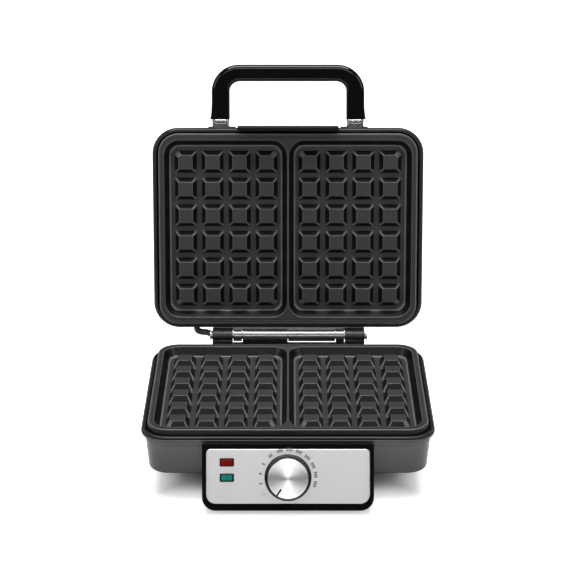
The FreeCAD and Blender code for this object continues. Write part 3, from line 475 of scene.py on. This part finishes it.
LIP_TOP = RIM - casing_high.z
LIP_PROFILE = ([(3.9, LIP_TOP + 3.6), (3.9, LIP_TOP + 0.5)]
               + arc_profile((3.4, LIP_TOP + 0.5), 0.5, 180, 90, 3)
               + arc_profile((1.9, LIP_TOP + 1.0), 1.0, 90, 0, 5)
               + [(0.9, LIP_TOP + 1.3), (1.5, LIP_TOP + 1.5), (1.5, LIP_TOP + 2.1), (0.35, LIP_TOP + 2.3)]
               + [(0.08, LIP_TOP + 2.45), (0, LIP_TOP + 2.8), (0, LIP_TOP + 4.3), (0.15, LIP_TOP + 4.8)]
               + [(0.6, LIP_TOP + 5.0), (3.2, LIP_TOP + 5.15), (3.75, LIP_TOP + 5.3), (3.8, LIP_TOP + 5.6)]
               + [(3.45, LIP_TOP + 5.8)])
DRAFT = math.tan(math.radians(5))


def wall_at(depth):
    """How far the tapering wall stands inside the lip's outline at one depth."""
    return 3.4 + (depth - LIP_TOP - 5.0) * DRAFT


def bead(depth):
    """A fine pressed line round the wall."""
    return [(wall_at(depth) - 0.02, depth), (wall_at(depth) + 0.24, depth + 0.25),
            (wall_at(depth) + 0.24, depth + 0.45), (wall_at(depth) + 0.04, depth + 0.7)]


def wall_steps(last):
    """Even depths down the wall, below its pressed line; their rings carry the painted shade that grows towards
    the bottom.
    """
    first = LIP_TOP + 11.0
    return [first + (last - first) * step / 8 for step in range(9)]


def make_base_casing():
    low = RIM - casing_low.z
    bottom_round = 1.6
    edge = wall_at(low)
    profile = LIP_PROFILE + bead(LIP_TOP + 8.9)
    profile += [(wall_at(depth), depth) for depth in wall_steps(low - bottom_round)]
    profile += arc_profile((edge + bottom_round, low - bottom_round), bottom_round, -15, -90, 4)
    profile += [(edge + 2.4, low), (edge + 2.5, low - 1), (wall_at(LIP_TOP + 6) + 2.4, LIP_TOP + 6)]
    bm = bmesh.new()
    add_loops(bm, casing_loops(profile), closed=True)
    mark_casing(bm, low - 2)
    piece = finish_mesh(bm, "base_casing_shell", BASE, satin_casing, 30)
    return attach(piece, "base", "satin_casing", "base_casing")


def make_lid_casing():
    back = 34.0
    crown = 9.0
    profile = LIP_PROFILE + bead(LIP_TOP + 8.9)
    edge = wall_at(back - crown)
    profile += arc_profile((edge + crown, back - crown), crown, -5, -90, 9)
    profile += [(edge + crown + 7, back + 0.10), (edge + crown + 9, back - 0.35),
                (edge + crown + 10.5, back - 0.4), (edge + crown + 30, back + 0.1)]
    loops = casing_loops(profile)
    bm = bmesh.new()
    add_loops(bm, loops, cap_last=True)
    add_loops(bm, casing_loops([(edge + 14, back - 2.6), (edge + 3.4, back - 8), (wall_at(12) + 2.4, 12),
                                (3.9, LIP_TOP + 3.6)]), cap_first=True)
    mark_casing(bm, back - crown)
    piece = finish_mesh(bm, "lid_casing_shell", LID, satin_casing, 30)
    return attach(piece, "lid", "satin_casing", "lid_casing")


make_base_casing()
make_lid_casing()

# ------------------------------------------------------------------ waffle plates
PLATE_WIDTH = plate_high.x - plate_low.x
PLATE_DEPTH = plate_high.y - plate_low.y
PLATE_CORNER = 18.5
WELL_OUTER, WELL_LENGTH, WELL_CORNER, RIDGE = 114.85, 165.5, 14.0, 0.8
WELL_SINK = 8.0
PITCH, PAD_CENTRE, PAD_BASE, PAD_TOP, PAD_RISE = 25.0, 57.5, 20.6, 12.7, 6.4
PLATE_STEPS = 10


def plate_outline(inset, level):
    """The plate's outline with one extra point at the middle of its front and back edges."""
    loop = rounded_loop(PLATE_WIDTH - 2 * inset, PLATE_DEPTH - 2 * inset, PLATE_CORNER - inset, level,
                        steps=PLATE_STEPS)
    half = PLATE_DEPTH / 2 - inset
    arc = PLATE_STEPS + 1
    front, back = Vector((0, -half, level)), Vector((0, half, level))
    return [front] + loop[:2 * arc] + [back] + loop[2 * arc:]


def well_loop(side, inset, level):
    width = WELL_OUTER - RIDGE - 2 * inset
    centre = side * (WELL_OUTER + RIDGE) / 2
    return rounded_loop(width, WELL_LENGTH - 2 * inset, WELL_CORNER - 0.75 * inset, level, (centre, 0),
                        PLATE_STEPS)


def make_plate_shell(name, place, body, node):
    """The cast plate without its pads: skirt, grooved flange, two wells with rolled edges."""
    bm = bmesh.new()
    outer = [(0, -11.0), (0, -1.3), (0.12, -0.75), (0.38, -0.38), (0.75, -0.12), (1.3, 0), (3.2, 0),
             (3.32, -0.1), (3.45, -0.55), (4.1, -0.55), (4.2, -0.1), (4.3, 0)]
    rings = add_loops(bm, [plate_outline(inset, level) for inset, level in outer], cap_first=True)
    edge = rings[-1]
    arc = PLATE_STEPS + 1
    right = [edge[0]] * arc + edge[1:1 + 2 * arc] + [edge[1 + 2 * arc]] * arc
    left = [edge[1 + 2 * arc]] * arc + edge[2 + 2 * arc:] + [edge[0]] * arc
    wall = [(-0.75, 0), (-0.35, -0.06), (0.0, -0.3), (0.3, -0.8), (4.0, -6.6), (4.5, -7.3), (5.1, -7.75),
            (6.0, -8.0)]
    for side, boundary in ((1, right), (-1, left)):
        loops = [well_loop(side, inset, level) for inset, level in wall]
        if side > 0:
            loops = [loop[3 * arc:] + loop[:3 * arc] for loop in loops]
        else:
            loops = [loop[arc:] + loop[:arc] for loop in loops]
        ring = add_loops(bm, loops, cap_last=True)[0]
        for i in range(len(ring)):
            j = (i + 1) % len(ring)
            corner_points = [boundary[i], boundary[j], ring[j], ring[i]]
            unique = [p for k, p in enumerate(corner_points) if p not in corner_points[:k]]
            if len(unique) > 2:
                bm.faces.new(unique)
    mark_relief(bm)
    piece = finish_mesh(bm, name, place, nonstick, 35)
    return attach(piece, body, "nonstick", node)


def make_pad_mesh(name, corner_radius):
    """One waffle pad: a tapered square block with rolled edges and one corner rounder than the rest."""
    profile = [(PAD_BASE + 1.6, 1.8, -0.15), (PAD_BASE + 0.4, 1.6, 0.12), (PAD_BASE - 0.5, 1.5, 0.6),
               (PAD_TOP + 0.95, 1.1, PAD_RISE - 0.7), (PAD_TOP + 0.45, 1.0, PAD_RISE - 0.24),
               (PAD_TOP - 0.15, 0.9, PAD_RISE - 0.04), (PAD_TOP - 0.9, 0.7, PAD_RISE)]
    bm = bmesh.new()
    loops = []
    for width, corner, level in profile:
        radii = [corner, corner + corner_radius, corner, corner]
        loops.append(rounded_loop(width, width, radii, level, steps=3))
    add_loops(bm, loops, cap_first=True, cap_last=True)
    mark_relief(bm, upright_edges=True)
    piece = finish_mesh(bm, name, Matrix.Identity(4), nonstick, 35)
    return piece


def make_pads_tree():
    """Geometry Nodes: pads on a grid in each of two wells, with corner pads turned to face outwards."""
    tree = bpy.data.node_groups.new("waffle_pads", "GeometryNodeTree")
    sockets = [("Geometry", "NodeSocketGeometry", None), ("Pad", "NodeSocketObject", None),
               ("Corner Pad", "NodeSocketObject", None), ("Pitch", "NodeSocketFloat", 0.025),
               ("Columns", "NodeSocketInt", 4), ("Rows", "NodeSocketInt", 6),
               ("Well Offset", "NodeSocketFloat", 0.0575), ("Floor", "NodeSocketFloat", -0.008),
               ("Material", "NodeSocketMaterial", None)]
    for label, kind, value in sockets:
        socket = tree.interface.new_socket(label, in_out="INPUT", socket_type=kind)
        if value is not None:
            socket.default_value = value
    tree.interface.new_socket("Geometry", in_out="OUTPUT", socket_type="NodeSocketGeometry")
    start, end = tree.nodes.new("NodeGroupInput"), tree.nodes.new("NodeGroupOutput")
    link = tree.links.new

    def math_node(operation, first, second=None):
        node = tree.nodes.new("ShaderNodeMath")
        node.operation = operation
        for index, value in enumerate((first, second)):
            if value is None:
                continue
            if isinstance(value, (int, float)):
                node.inputs[index].default_value = value
            else:
                link(value, node.inputs[index])
        return node.outputs[0]

    across = math_node("MULTIPLY", start.outputs["Pitch"], math_node("SUBTRACT", start.outputs["Columns"], 1))
    along = math_node("MULTIPLY", start.outputs["Pitch"], math_node("SUBTRACT", start.outputs["Rows"], 1))
    grid = tree.nodes.new("GeometryNodeMeshGrid")
    link(across, grid.inputs["Size X"])
    link(along, grid.inputs["Size Y"])
    link(start.outputs["Columns"], grid.inputs["Vertices X"])
    link(start.outputs["Rows"], grid.inputs["Vertices Y"])
    position = tree.nodes.new("GeometryNodeInputPosition")
    split = tree.nodes.new("ShaderNodeSeparateXYZ")
    link(position.outputs["Position"], split.inputs["Vector"])
    reach_x = math_node("GREATER_THAN", math_node("ABSOLUTE", split.outputs["X"]),
                        math_node("SUBTRACT", math_node("MULTIPLY", across, 0.5), 0.001))
    reach_y = math_node("GREATER_THAN", math_node("ABSOLUTE", split.outputs["Y"]),
                        math_node("SUBTRACT", math_node("MULTIPLY", along, 0.5), 0.001))
    is_corner = math_node("MULTIPLY", reach_x, reach_y)
    turn = math_node("SUBTRACT", math_node("ARCTAN2", math_node("SIGN", split.outputs["Y"]),
                                           math_node("SIGN", split.outputs["X"])), math.pi / 4)
    rotation = tree.nodes.new("ShaderNodeCombineXYZ")
    link(turn, rotation.inputs["Z"])
    join = tree.nodes.new("GeometryNodeJoinGeometry")
    for label, selection, turned in (("Pad", math_node("SUBTRACT", 1, is_corner), False),
                                     ("Corner Pad", is_corner, True)):
        info = tree.nodes.new("GeometryNodeObjectInfo")
        link(start.outputs[label], info.inputs["Object"])
        instance = tree.nodes.new("GeometryNodeInstanceOnPoints")
        link(grid.outputs["Mesh"], instance.inputs["Points"])
        link(selection, instance.inputs["Selection"])
        link(info.outputs["Geometry"], instance.inputs["Instance"])
        if turned:
            link(rotation.outputs["Vector"], instance.inputs["Rotation"])
        link(instance.outputs["Instances"], join.inputs["Geometry"])
    wells = tree.nodes.new("GeometryNodeJoinGeometry")
    for sign in (-1, 1):
        move = tree.nodes.new("GeometryNodeTransform")
        shift = tree.nodes.new("ShaderNodeCombineXYZ")
        link(math_node("MULTIPLY", start.outputs["Well Offset"], sign), shift.inputs["X"])
        link(start.outputs["Floor"], shift.inputs["Z"])
        link(shift.outputs["Vector"], move.inputs["Translation"])
        link(join.outputs["Geometry"], move.inputs["Geometry"])
        link(move.outputs["Geometry"], wells.inputs["Geometry"])
    realize = tree.nodes.new("GeometryNodeRealizeInstances")
    paint = tree.nodes.new("GeometryNodeSetMaterial")
    link(wells.outputs["Geometry"], realize.inputs["Geometry"])
    link(realize.outputs["Geometry"], paint.inputs["Geometry"])
    link(start.outputs["Material"], paint.inputs["Material"])
    link(paint.outputs["Geometry"], end.inputs["Geometry"])
    return tree


def run_nodes(tree, name, values, place, smooth_angle=35):
    """Run a Geometry Nodes tree on an empty mesh and keep the result as plain mesh, put in place."""
    piece = bpy.data.objects.new(name, bpy.data.meshes.new(name))
    bpy.context.scene.collection.objects.link(piece)
    modifier = piece.modifiers.new("nodes", "NODES")
    modifier.node_group = tree
    for item in tree.interface.items_tree:
        if item.in_out == "INPUT" and item.name in values:
            modifier[item.identifier] = values[item.name]
    bake(piece)
    piece.data.transform(Matrix.Scale(MM, 4) @ place @ Matrix.Scale(1 / MM, 4))
    piece.data.shade_smooth()
    piece.data.set_sharp_from_angle(angle=math.radians(smooth_angle))
    return settle_normals(piece)


pads_tree = make_pads_tree()
pad_piece = make_pad_mesh("pad_pattern", 0.0)
corner_piece = make_pad_mesh("corner_pad_pattern", 2.2)
for name, place, body, node in (("lower", BASE, "base", "lower_plate"), ("upper", LID, "lid", "upper_plate")):
    make_plate_shell(f"{name}_plate_shell", place, body, node)
    pads = run_nodes(pads_tree, f"{name}_plate_pads",
                     {"Pad": pad_piece, "Corner Pad": corner_piece, "Pitch": PITCH * MM, "Columns": 4,
                      "Rows": 6, "Well Offset": PAD_CENTRE * MM, "Floor": -WELL_SINK * MM,
                      "Material": nonstick}, place)
    attach(pads, body, "nonstick", node)
for pattern in (pad_piece, corner_piece):
    bpy.data.objects.remove(pattern)

# ------------------------------------------------------------------ control panel
FASCIA_WIDTH, FASCIA_HEIGHT, FASCIA_TOP = 138.0, 46.0, 23.8


def planar_uv(piece, name, place, along):
    """A UV map whose U runs along one direction of a local frame."""
    back = place.inverted() @ Matrix.Scale(1 / MM, 4)
    layer = piece.data.uv_layers.new(name=name)
    for polygon in piece.data.polygons:
        for loop in polygon.loop_indices:
            point = back @ piece.data.vertices[piece.data.loops[loop].vertex_index].co
            layer.data[loop].uv = (point[along] / 100, point[1 - along] / 100)


def polar_uv(piece, name, place):
    """A UV map whose U runs outwards from the middle of a turned face."""
    back = place.inverted() @ Matrix.Scale(1 / MM, 4)
    layer = piece.data.uv_layers.new(name=name)
    for polygon in piece.data.polygons:
        middle = back @ polygon.center
        around = math.atan2(middle.y, middle.x)
        for loop in polygon.loop_indices:
            point = back @ piece.data.vertices[piece.data.loops[loop].vertex_index].co
            turn = math.atan2(point.y, point.x) - around
            turn = (turn + math.pi) % (2 * math.pi) - math.pi
            layer.data[loop].uv = (point.xy.length / 100, (around + turn) / 10)


def fascia_loop(inset, level):
    bottom, top = 8.0 - inset, max(3.4 - inset, 0.4)
    centre = (0, FASCIA_TOP - FASCIA_HEIGHT / 2)
    return rounded_loop(FASCIA_WIDTH - 2 * inset, FASCIA_HEIGHT - 2 * inset, [bottom, top, top, bottom],
                        level, centre)


def make_fascia():
    profile = [(0.1, 0.02), (0.0, 0.2), (0.0, 0.55), (0.12, 0.82), (0.35, 0.96), (0.7, 1.0)]
    bm = bmesh.new()
    add_loops(bm, [fascia_loop(inset, level) for inset, level in profile], cap_first=True, cap_last=True)
    piece = finish_mesh(bm, "panel_fascia_sheet", panel, brushed, 35)
    planar_uv(piece, "brush", panel, 1)
    return attach(piece, "base", "brushed_fascia", "panel_fascia")


def make_lens(colour, drop, material, rim_material):
    centre = (-51.5, 27.8 - drop)
    profile = [(0.0, -2.0), (0.0, 1.35), (0.18, 1.62), (0.5, 1.76), (1.2, 1.8)]
    bm = bmesh.new()
    loops = [rounded_loop(11.4 - 2 * inset, 6.3 - 2 * inset, 0.9 - min(inset, 0.5) * 0.6, level, centre, 4)
             for inset, level in profile]
    add_loops(bm, loops, cap_first=True, cap_last=True)
    piece = finish_mesh(bm, f"{colour}_lens_block", panel, rim_material, 35)
    attach(piece, "base", f"{colour}_lens", f"{colour}_lamp_lens")
    # the raised panes carry the lens's painted light, and the block below carries its painted shade
    bm = bmesh.new()
    profile = [(0.0, 1.2), (0.0, 1.82), (0.15, 1.9), (0.5, 1.92)]
    for centre_x in (-2.35, 2.35):
        loops = [rounded_loop(4.5 - 2 * inset, 4.3 - 2 * inset, 0.7 - min(inset, 0.5) * 0.6, level,
                              (centre[0] + centre_x, centre[1]), 4) for inset, level in profile]
        add_loops(bm, loops, cap_first=True, cap_last=True)
    piece = finish_mesh(bm, f"{colour}_lens_panes", panel, material, 35)
    attach(piece, "base", f"{colour}_lens")
    bm = bmesh.new()
    gap = [(-0.45, 0.9), (-0.45, 1.04), (0.1, 1.04), (0.1, 0.9)]
    add_loops(bm, [rounded_loop(11.4 - 2 * inset, 6.3 - 2 * inset, 1.0, level, centre, 4)
                   for inset, level in gap], closed=True)
    piece = finish_mesh(bm, f"{colour}_lens_gap", panel, matte_black, 35)
    return attach(piece, "base", "matte_black")


DIAL_MARKS = [(193.0, 1), (172.5, 1), (151.4, 1), (129.0, 2), (107.0, 3), (87.0, 3), (67.0, 3), (46.0, 3),
              (25.5, 3), (5.6, 3), (-14.0, 3)]
DIAL_RADIUS, TICK_LENGTH, TICK_WIDTH, TICK_PITCH = 23.5, 2.8, 1.35, 4.4


def make_dial_marks():
    """Clusters of short radial ticks round the knob, and a faint ring and stroke for off."""
    bm = bmesh.new()
    for angle, count in DIAL_MARKS:
        for tick in range(count):
            turn = math.radians(angle + (tick - (count - 1) / 2) * TICK_PITCH)
            place = Matrix.Rotation(turn, 4, "Z") @ Matrix.Translation((DIAL_RADIUS, 0, 0))
            loops = [[place @ point for point in rounded_loop(TICK_LENGTH, TICK_WIDTH, 0.3, level, steps=3)]
                     for level in (0.9, 1.04)]
            add_loops(bm, loops, cap_first=True, cap_last=True)
    piece = finish_mesh(bm, "dial_marks", panel, print_grey, 35)
    attach(piece, "base", "brushed_fascia")
    bm = bmesh.new()
    off_angle = math.radians(217)
    centre = Vector((DIAL_RADIUS * math.cos(off_angle) - 2.0, DIAL_RADIUS * math.sin(off_angle), 0))
    ring = [(1.15, 0.9), (1.15, 1.04), (1.6, 1.04), (1.6, 0.9)]
    add_loops(bm, [[centre + point for point in circle_loop(radius, level, 32)] for radius, level in ring],
              closed=True)
    loops = [rounded_loop(0.5, 2.4, 0.2, level, (centre.x + 3.6, centre.y), 3) for level in (0.9, 1.04)]
    add_loops(bm, loops, cap_first=True, cap_last=True)
    piece = finish_mesh(bm, "dial_off_mark", panel, print_pale, 35)
    return attach(piece, "base", "brushed_fascia")


KNOB_RIBS = 72


def fluted_loop(radius, depth, level):
    """A circle with a shallow valley between each pair of ribs."""
    points = []
    for i in range(KNOB_RIBS * 4):
        angle = 2 * math.pi * i / (KNOB_RIBS * 4)
        r = radius - depth * (0, 0.25, 1, 0.25)[i % 4]
        points.append(Vector((r * math.cos(angle), r * math.sin(angle), level)))
    return points


def make_knob():
    steps = KNOB_RIBS * 4
    bm = bmesh.new()
    loops = [circle_loop(18.0, 1.42, steps), circle_loop(19.4, 1.42, steps), circle_loop(19.8, 1.8, steps),
             circle_loop(19.8, 2.7, steps), circle_loop(19.5, 3.2, steps), circle_loop(18.9, 3.4, steps),
             fluted_loop(18.0, 0.0, 3.5), fluted_loop(17.95, 0.45, 4.0), fluted_loop(17.55, 0.45, 11.0),
             fluted_loop(17.5, 0.2, 11.8), circle_loop(17.3, 12.25, steps), circle_loop(17.1, 12.4, steps),
             circle_loop(16.95, 12.35, steps), circle_loop(16.9, 11.8, steps)]
    add_loops(bm, loops, cap_first=True, cap_last=True)
    piece = finish_mesh(bm, "knob_ribbed", panel, knob_black, 50)
    attach(piece, "knob", "knob_black", "knob_body")
    bm = bmesh.new()
    disc = [circle_loop(radius, level, 128) for radius, level in
            ((16.7, 11.85), (16.85, 12.4), (16.8, 12.7), (16.55, 12.86), (16.2, 12.9), (12.0, 12.91),
             (8.0, 12.92), (4.0, 12.93), (1.5, 12.93), (0.3, 12.93))]
    add_loops(bm, disc, cap_first=True, cap_last=True)
    piece = finish_mesh(bm, "knob_cap_disc", panel, spun, 35)
    polar_uv(piece, "turned", panel)
    attach(piece, "knob", "spun_aluminium", "knob_cap")
    bm = bmesh.new()
    loops = [rounded_loop(6.5 - 2 * inset, 1.4 - 2 * inset, 0.4, level, (16.85 - 3.3, 0), 4)
             for inset, level in ((0, 12.5), (0, 12.98), (0.12, 13.04))]
    add_loops(bm, loops, cap_first=True, cap_last=True)
    turn = Matrix.Rotation(math.radians(236.5), 4, "Z")
    piece = finish_mesh(bm, "knob_pointer_bar", panel @ turn, gloss_black, 35)
    return attach(piece, "knob", "gloss_black", "knob_pointer")


make_fascia()
make_lens("red", 15.1, red_glow, red_rim)
make_lens("green", 28.1, green_glow, green_rim)
make_dial_marks()
make_knob()
soften("panel_housing", "base", "gloss_black", gloss_black, 0.9, 3, 28)

# ------------------------------------------------------------------ handle and latch
def closed_box(node):
    """A lid node's box in millimetres with the lid closed."""
    back = (Matrix.Scale(MM, 4) @ swing @ Matrix.Scale(1 / MM, 4)).inverted()
    points = [(back @ nodes[node].matrix_world @ vertex.co) / MM for vertex in nodes[node].data.vertices]
    low = Vector([min(point[k] for point in points) for k in range(3)])
    high = Vector([max(point[k] for point in points) for k in range(3)])
    return low, high


def grip_section(outer, inner, level, half, round_off, steps=5):
    """A rounded rectangle between two points of the handle's plan."""
    across = outer - inner
    width = across.length
    across.normalize()
    middle = (outer + inner) / 2
    flat = rounded_loop(width, 2 * half, round_off, 0, steps=steps)
    return [Vector((middle.x + across.x * point.x, middle.y + across.y * point.x, level + point.y))
            for point in flat]


def make_handle():
    low, high = closed_box("handle")
    level = (low.z + high.z) / 2
    half = (high.z - low.z) / 2
    foot = high.y
    outer_half, leg, bar = high.x, 16.7, 15.2
    front = low.y
    pairs = []
    leg_length = (front + 25) - foot
    for t, flare in ((0, 1.45), (0.04, 1.35), (0.12, 0.95), (0.25, 0.45), (0.45, 0.12), (0.7, 0), (1, 0)):
        y = foot + leg_length * t
        pairs.append((Vector((outer_half + flare, y)), Vector((outer_half - leg, min(y, foot)))))
        pairs[-1][1].y = y
    inner_centre = Vector((outer_half - leg - 9.5, front + bar + 9.5))
    outer_centre = Vector((outer_half - 25, front + 25))
    for step in range(1, 13):
        angle = math.radians(-90 * step / 12)
        spoke = Vector((math.cos(angle), math.sin(angle)))
        pairs.append((outer_centre + spoke * 25, inner_centre + spoke * 9.5))
    mirrored = [(Vector((-outer.x, outer.y)), Vector((-inner.x, inner.y))) for outer, inner in pairs[::-1]]
    bm = bmesh.new()
    add_loops(bm, [grip_section(outer, inner, level, half, 3.6) for outer, inner in pairs + mirrored],
              cap_first=True, cap_last=True)
    piece = finish_mesh(bm, "handle_grip", swing, gloss_black, 40)
    return attach(piece, "lid", "gloss_black", "handle")


def make_collar(side):
    low, high = closed_box(f"handle_collar_{side}")
    centre, size = (low + high) / 2, high - low
    length = size.y
    profile = [(0, 0.5), (0.03, 0.15), (0.1, 0), (0.42, 0), (0.46, 0.35), (0.54, 0.35), (0.58, 0), (0.9, 0),
               (0.97, 0.15), (1, 0.5)]
    bm = bmesh.new()
    loops = []
    for t, inset in profile:
        flat = rounded_loop(size.x - 2 * inset, size.z - 2 * inset, 3.0, 0, steps=5)
        loops.append([Vector((centre.x + point.x, low.y + length * t, centre.z + point.y)) for point in flat])
    add_loops(bm, loops, cap_first=True, cap_last=True)
    piece = finish_mesh(bm, f"collar_{side}_band", swing, chrome, 30)
    return attach(piece, "lid", "chrome", f"handle_collar_{side}")


make_handle()
for side in ("left", "right"):
    make_collar(side)
    soften(f"handle_mount_{side}", "lid", "gloss_black", gloss_black, 0.8, 3, 28)
soften("latch_clip", "latch", "gloss_black", latch_black, 0.45, 3, 28)

# ------------------------------------------------------------------ hinge and lead
for node, body, slot, material, width in (
        ("base_hinge_leaf", "base", "satin_steel", satin_steel, 0.25),
        ("lid_hinge_leaf", "lid", "satin_steel", satin_steel, 0.25),
        ("base_hinge_block_left", "base", "matte_black", matte_black, 0.4),
        ("base_hinge_block_right", "base", "matte_black", matte_black, 0.4),
        ("lid_hinge_block_left", "lid", "matte_black", matte_black, 0.3),
        ("lid_hinge_block_right", "lid", "matte_black", matte_black, 0.3),
        ("hinge_pin", "base", "satin_steel", satin_steel, 0.4),
        ("base_bottom", "base", "matte_black", matte_black, 0.3),
        ("front_feet", "base", "matte_black", matte_black, 0.5),
        ("rear_feet", "base", "matte_black", matte_black, 0.5),
        ("foot_pads", "base", "rubber", rubber, 0.4),
        ("cord_gland", "base", "matte_black", matte_black, 0.3),
        ("base_lead_grommet", "base", "rubber", rubber, 0.4),
        ("lid_lead_grommet", "lid", "rubber", rubber, 0.4)):
    soften(node, body, slot, material, width, 2, 32)

def smooth_route(points, steps):
    """Points along a curve that passes evenly through every given point."""
    ends = [2 * points[0] - points[1]] + points + [2 * points[-1] - points[-2]]
    route = []
    for i in range(1, len(ends) - 2):
        before, first, second, after = ends[i - 1:i + 3]
        for step in range(steps):
            t = step / steps
            route.append(0.5 * ((2 * first) + (second - before) * t
                                + (2 * before - 5 * first + 4 * second - after) * t * t
                                + (3 * first - before - 3 * second + after) * t * t * t))
    return route + [points[-1]]


def make_lead():
    """The sheathed lead between the casings, made as one fixed tube along its route with the lid open."""
    leave = HINGE + Vector((-60.0, -13, -34.25))
    outward = swing.to_3x3() @ Vector((0, 1, 0))
    enter = swing @ (HINGE + Vector((-86.0, -13.5, 20.75)))
    points = [leave, leave + Vector((0, 16, 0)), HINGE + Vector((-62, 15, -23.25)),
              HINGE + Vector((-67, 18, -12.25)), HINGE + Vector((-75, 20.5, -6.25)),
              enter + outward * 12, enter]
    route = smooth_route(points, 10)
    bm = bmesh.new()
    loops = []
    across = Vector((1, 0, 0))
    for i, point in enumerate(route):
        along = (route[min(i + 1, len(route) - 1)] - route[max(i - 1, 0)]).normalized()
        up = along.cross(across).normalized()
        across = up.cross(along).normalized()
        loops.append([point + 3.0 * (across * math.cos(turn) + up * math.sin(turn))
                      for turn in [2 * math.pi * k / 24 for k in range(24)]])
    add_loops(bm, loops, cap_first=True, cap_last=True)
    piece = finish_mesh(bm, "lead_tube", Matrix.Identity(4), lead_sheath, 50)
    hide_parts("lid_lead")
    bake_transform(piece)
    return piece


make_lead()

# ------------------------------------------------------------------ floor, light and camera
floor_material, tree, shader = textured("floor_white", grey(0.70), grey(0.72), (0.7, 0.8), scale=30.0,
                                        bump=0.0)
shader.inputs["Specular IOR Level"].default_value = 0.2
shader.inputs["Emission Color"].default_value = (1, 1, 1, 1)
floor_path = tree.nodes.new("ShaderNodeLightPath")


def math_node(operation, *values):
    """One sum on the floor's shader tree; each value is a number or another node's output."""
    node = tree.nodes.new("ShaderNodeMath")
    node.operation = operation
    for socket, value in zip(node.inputs, values):
        if isinstance(value, (int, float)):
            socket.default_value = value
        else:
            tree.links.new(value, socket)
    return node.outputs["Value"]


def beyond(across, along, half_width, front, back):
    """How far a floor point lies outside one footprint."""
    side = math_node("SUBTRACT", across, half_width)
    ends = math_node("MAXIMUM", math_node("SUBTRACT", front, along), math_node("SUBTRACT", along, back))
    return math_node("MAXIMUM", side, ends)


# Under and round the base and panel footprints, the camera-ray floor glow fades away so that the real shadow shows
# there; the shadow's box-shaped edge is painted.
floor_place = tree.nodes.new("ShaderNodeTexCoord")
floor_split = tree.nodes.new("ShaderNodeSeparateXYZ")
tree.links.new(floor_place.outputs["Object"], floor_split.inputs["Vector"])
across = math_node("ABSOLUTE", floor_split.outputs["X"])
along = math_node("SUBTRACT", floor_split.outputs["Y"], PLATE_Y * MM)
SHADE_SIDE, SHADE_FRONT, SHADE_PANEL_SIDE, SHADE_PANEL_FRONT = 0.118, 0.087, 0.070, 0.118
casing_gap = beyond(across, along, SHADE_SIDE, -SHADE_FRONT, SHADE_FRONT)
panel_gap = beyond(across, along, SHADE_PANEL_SIDE, -SHADE_PANEL_FRONT, 0.0)
shadow_fade = tree.nodes.new("ShaderNodeMapRange")
shadow_fade.interpolation_type = "SMOOTHSTEP"
shadow_fade.inputs["From Min"].default_value = -0.030
shadow_fade.inputs["From Max"].default_value = 0.014
shadow_fade.inputs["To Min"].default_value = 0.0
shadow_fade.inputs["To Max"].default_value = 0.7
tree.links.new(math_node("MINIMUM", casing_gap, panel_gap), shadow_fade.inputs["Value"])
floor_lift = tree.nodes.new("ShaderNodeMath")
floor_lift.operation = "MULTIPLY"
tree.links.new(shadow_fade.outputs["Result"], floor_lift.inputs[1])
tree.links.new(floor_path.outputs["Is Camera Ray"], floor_lift.inputs[0])
tree.links.new(floor_lift.outputs["Value"], shader.inputs["Emission Strength"])
bm = bmesh.new()
add_loops(bm, [rounded_loop(6400, 6400, 100, level) for level in (-20, 0)], cap_first=True, cap_last=True)
floor = finish_mesh(bm, "floor", Matrix.Identity(4), floor_material)


def add_softbox(name, place, aim, width, height, power, spread=180):
    data = bpy.data.lights.new(name, "AREA")
    data.shape = "RECTANGLE"
    data.size = width
    data.size_y = height
    data.energy = power
    data.spread = math.radians(spread)
    lamp = bpy.data.objects.new(name, data)
    lamp.location = place
    lamp.rotation_euler = (Vector(aim) - Vector(place)).to_track_quat("-Z", "Y").to_euler()
    bpy.context.scene.collection.objects.link(lamp)
    return lamp


add_softbox("overhead_softbox", (0, 0.095, 1.5), (0, -0.025, 0), 1.3, 0.8, 34)
add_softbox("front_softbox", (0, -2.2, 1.35), (0, 0, 0.1), 1.2, 0.4, 11)
add_softbox("left_softbox", (-1.5, -0.9, 1.1), (0, 0, 0.15), 0.4, 0.9, 9)
add_softbox("right_softbox", (1.5, -0.9, 1.1), (0, 0, 0.15), 0.4, 0.9, 9)

world = bpy.data.worlds.new("studio")
bpy.context.scene.world = world
world.use_nodes = True
tree = world.node_tree
background = tree.nodes["Background"]
path = tree.nodes.new("ShaderNodeLightPath")
tint_mix = tree.nodes.new("ShaderNodeMix")
tint_mix.data_type = "RGBA"
tint_mix.inputs["A"].default_value = (0.35, 0.35, 0.35, 1)
tint_mix.inputs["B"].default_value = (0.015, 0.015, 0.015, 1)
tree.links.new(path.outputs["Is Glossy Ray"], tint_mix.inputs["Factor"])
tree.links.new(tint_mix.outputs["Result"], background.inputs["Color"])

camera_data = bpy.data.cameras.new("camera")
camera_data.lens = 114.8
camera_data.sensor_width = 36
camera = bpy.data.objects.new("camera", camera_data)
camera.location = (0, -1.481 + PLATE_Y * MM, 0.7655)
camera.rotation_euler = (math.radians(67.7), 0, 0)
bpy.context.scene.collection.objects.link(camera)
bpy.context.scene.camera = camera
bpy.context.scene.view_settings.view_transform = "Standard"
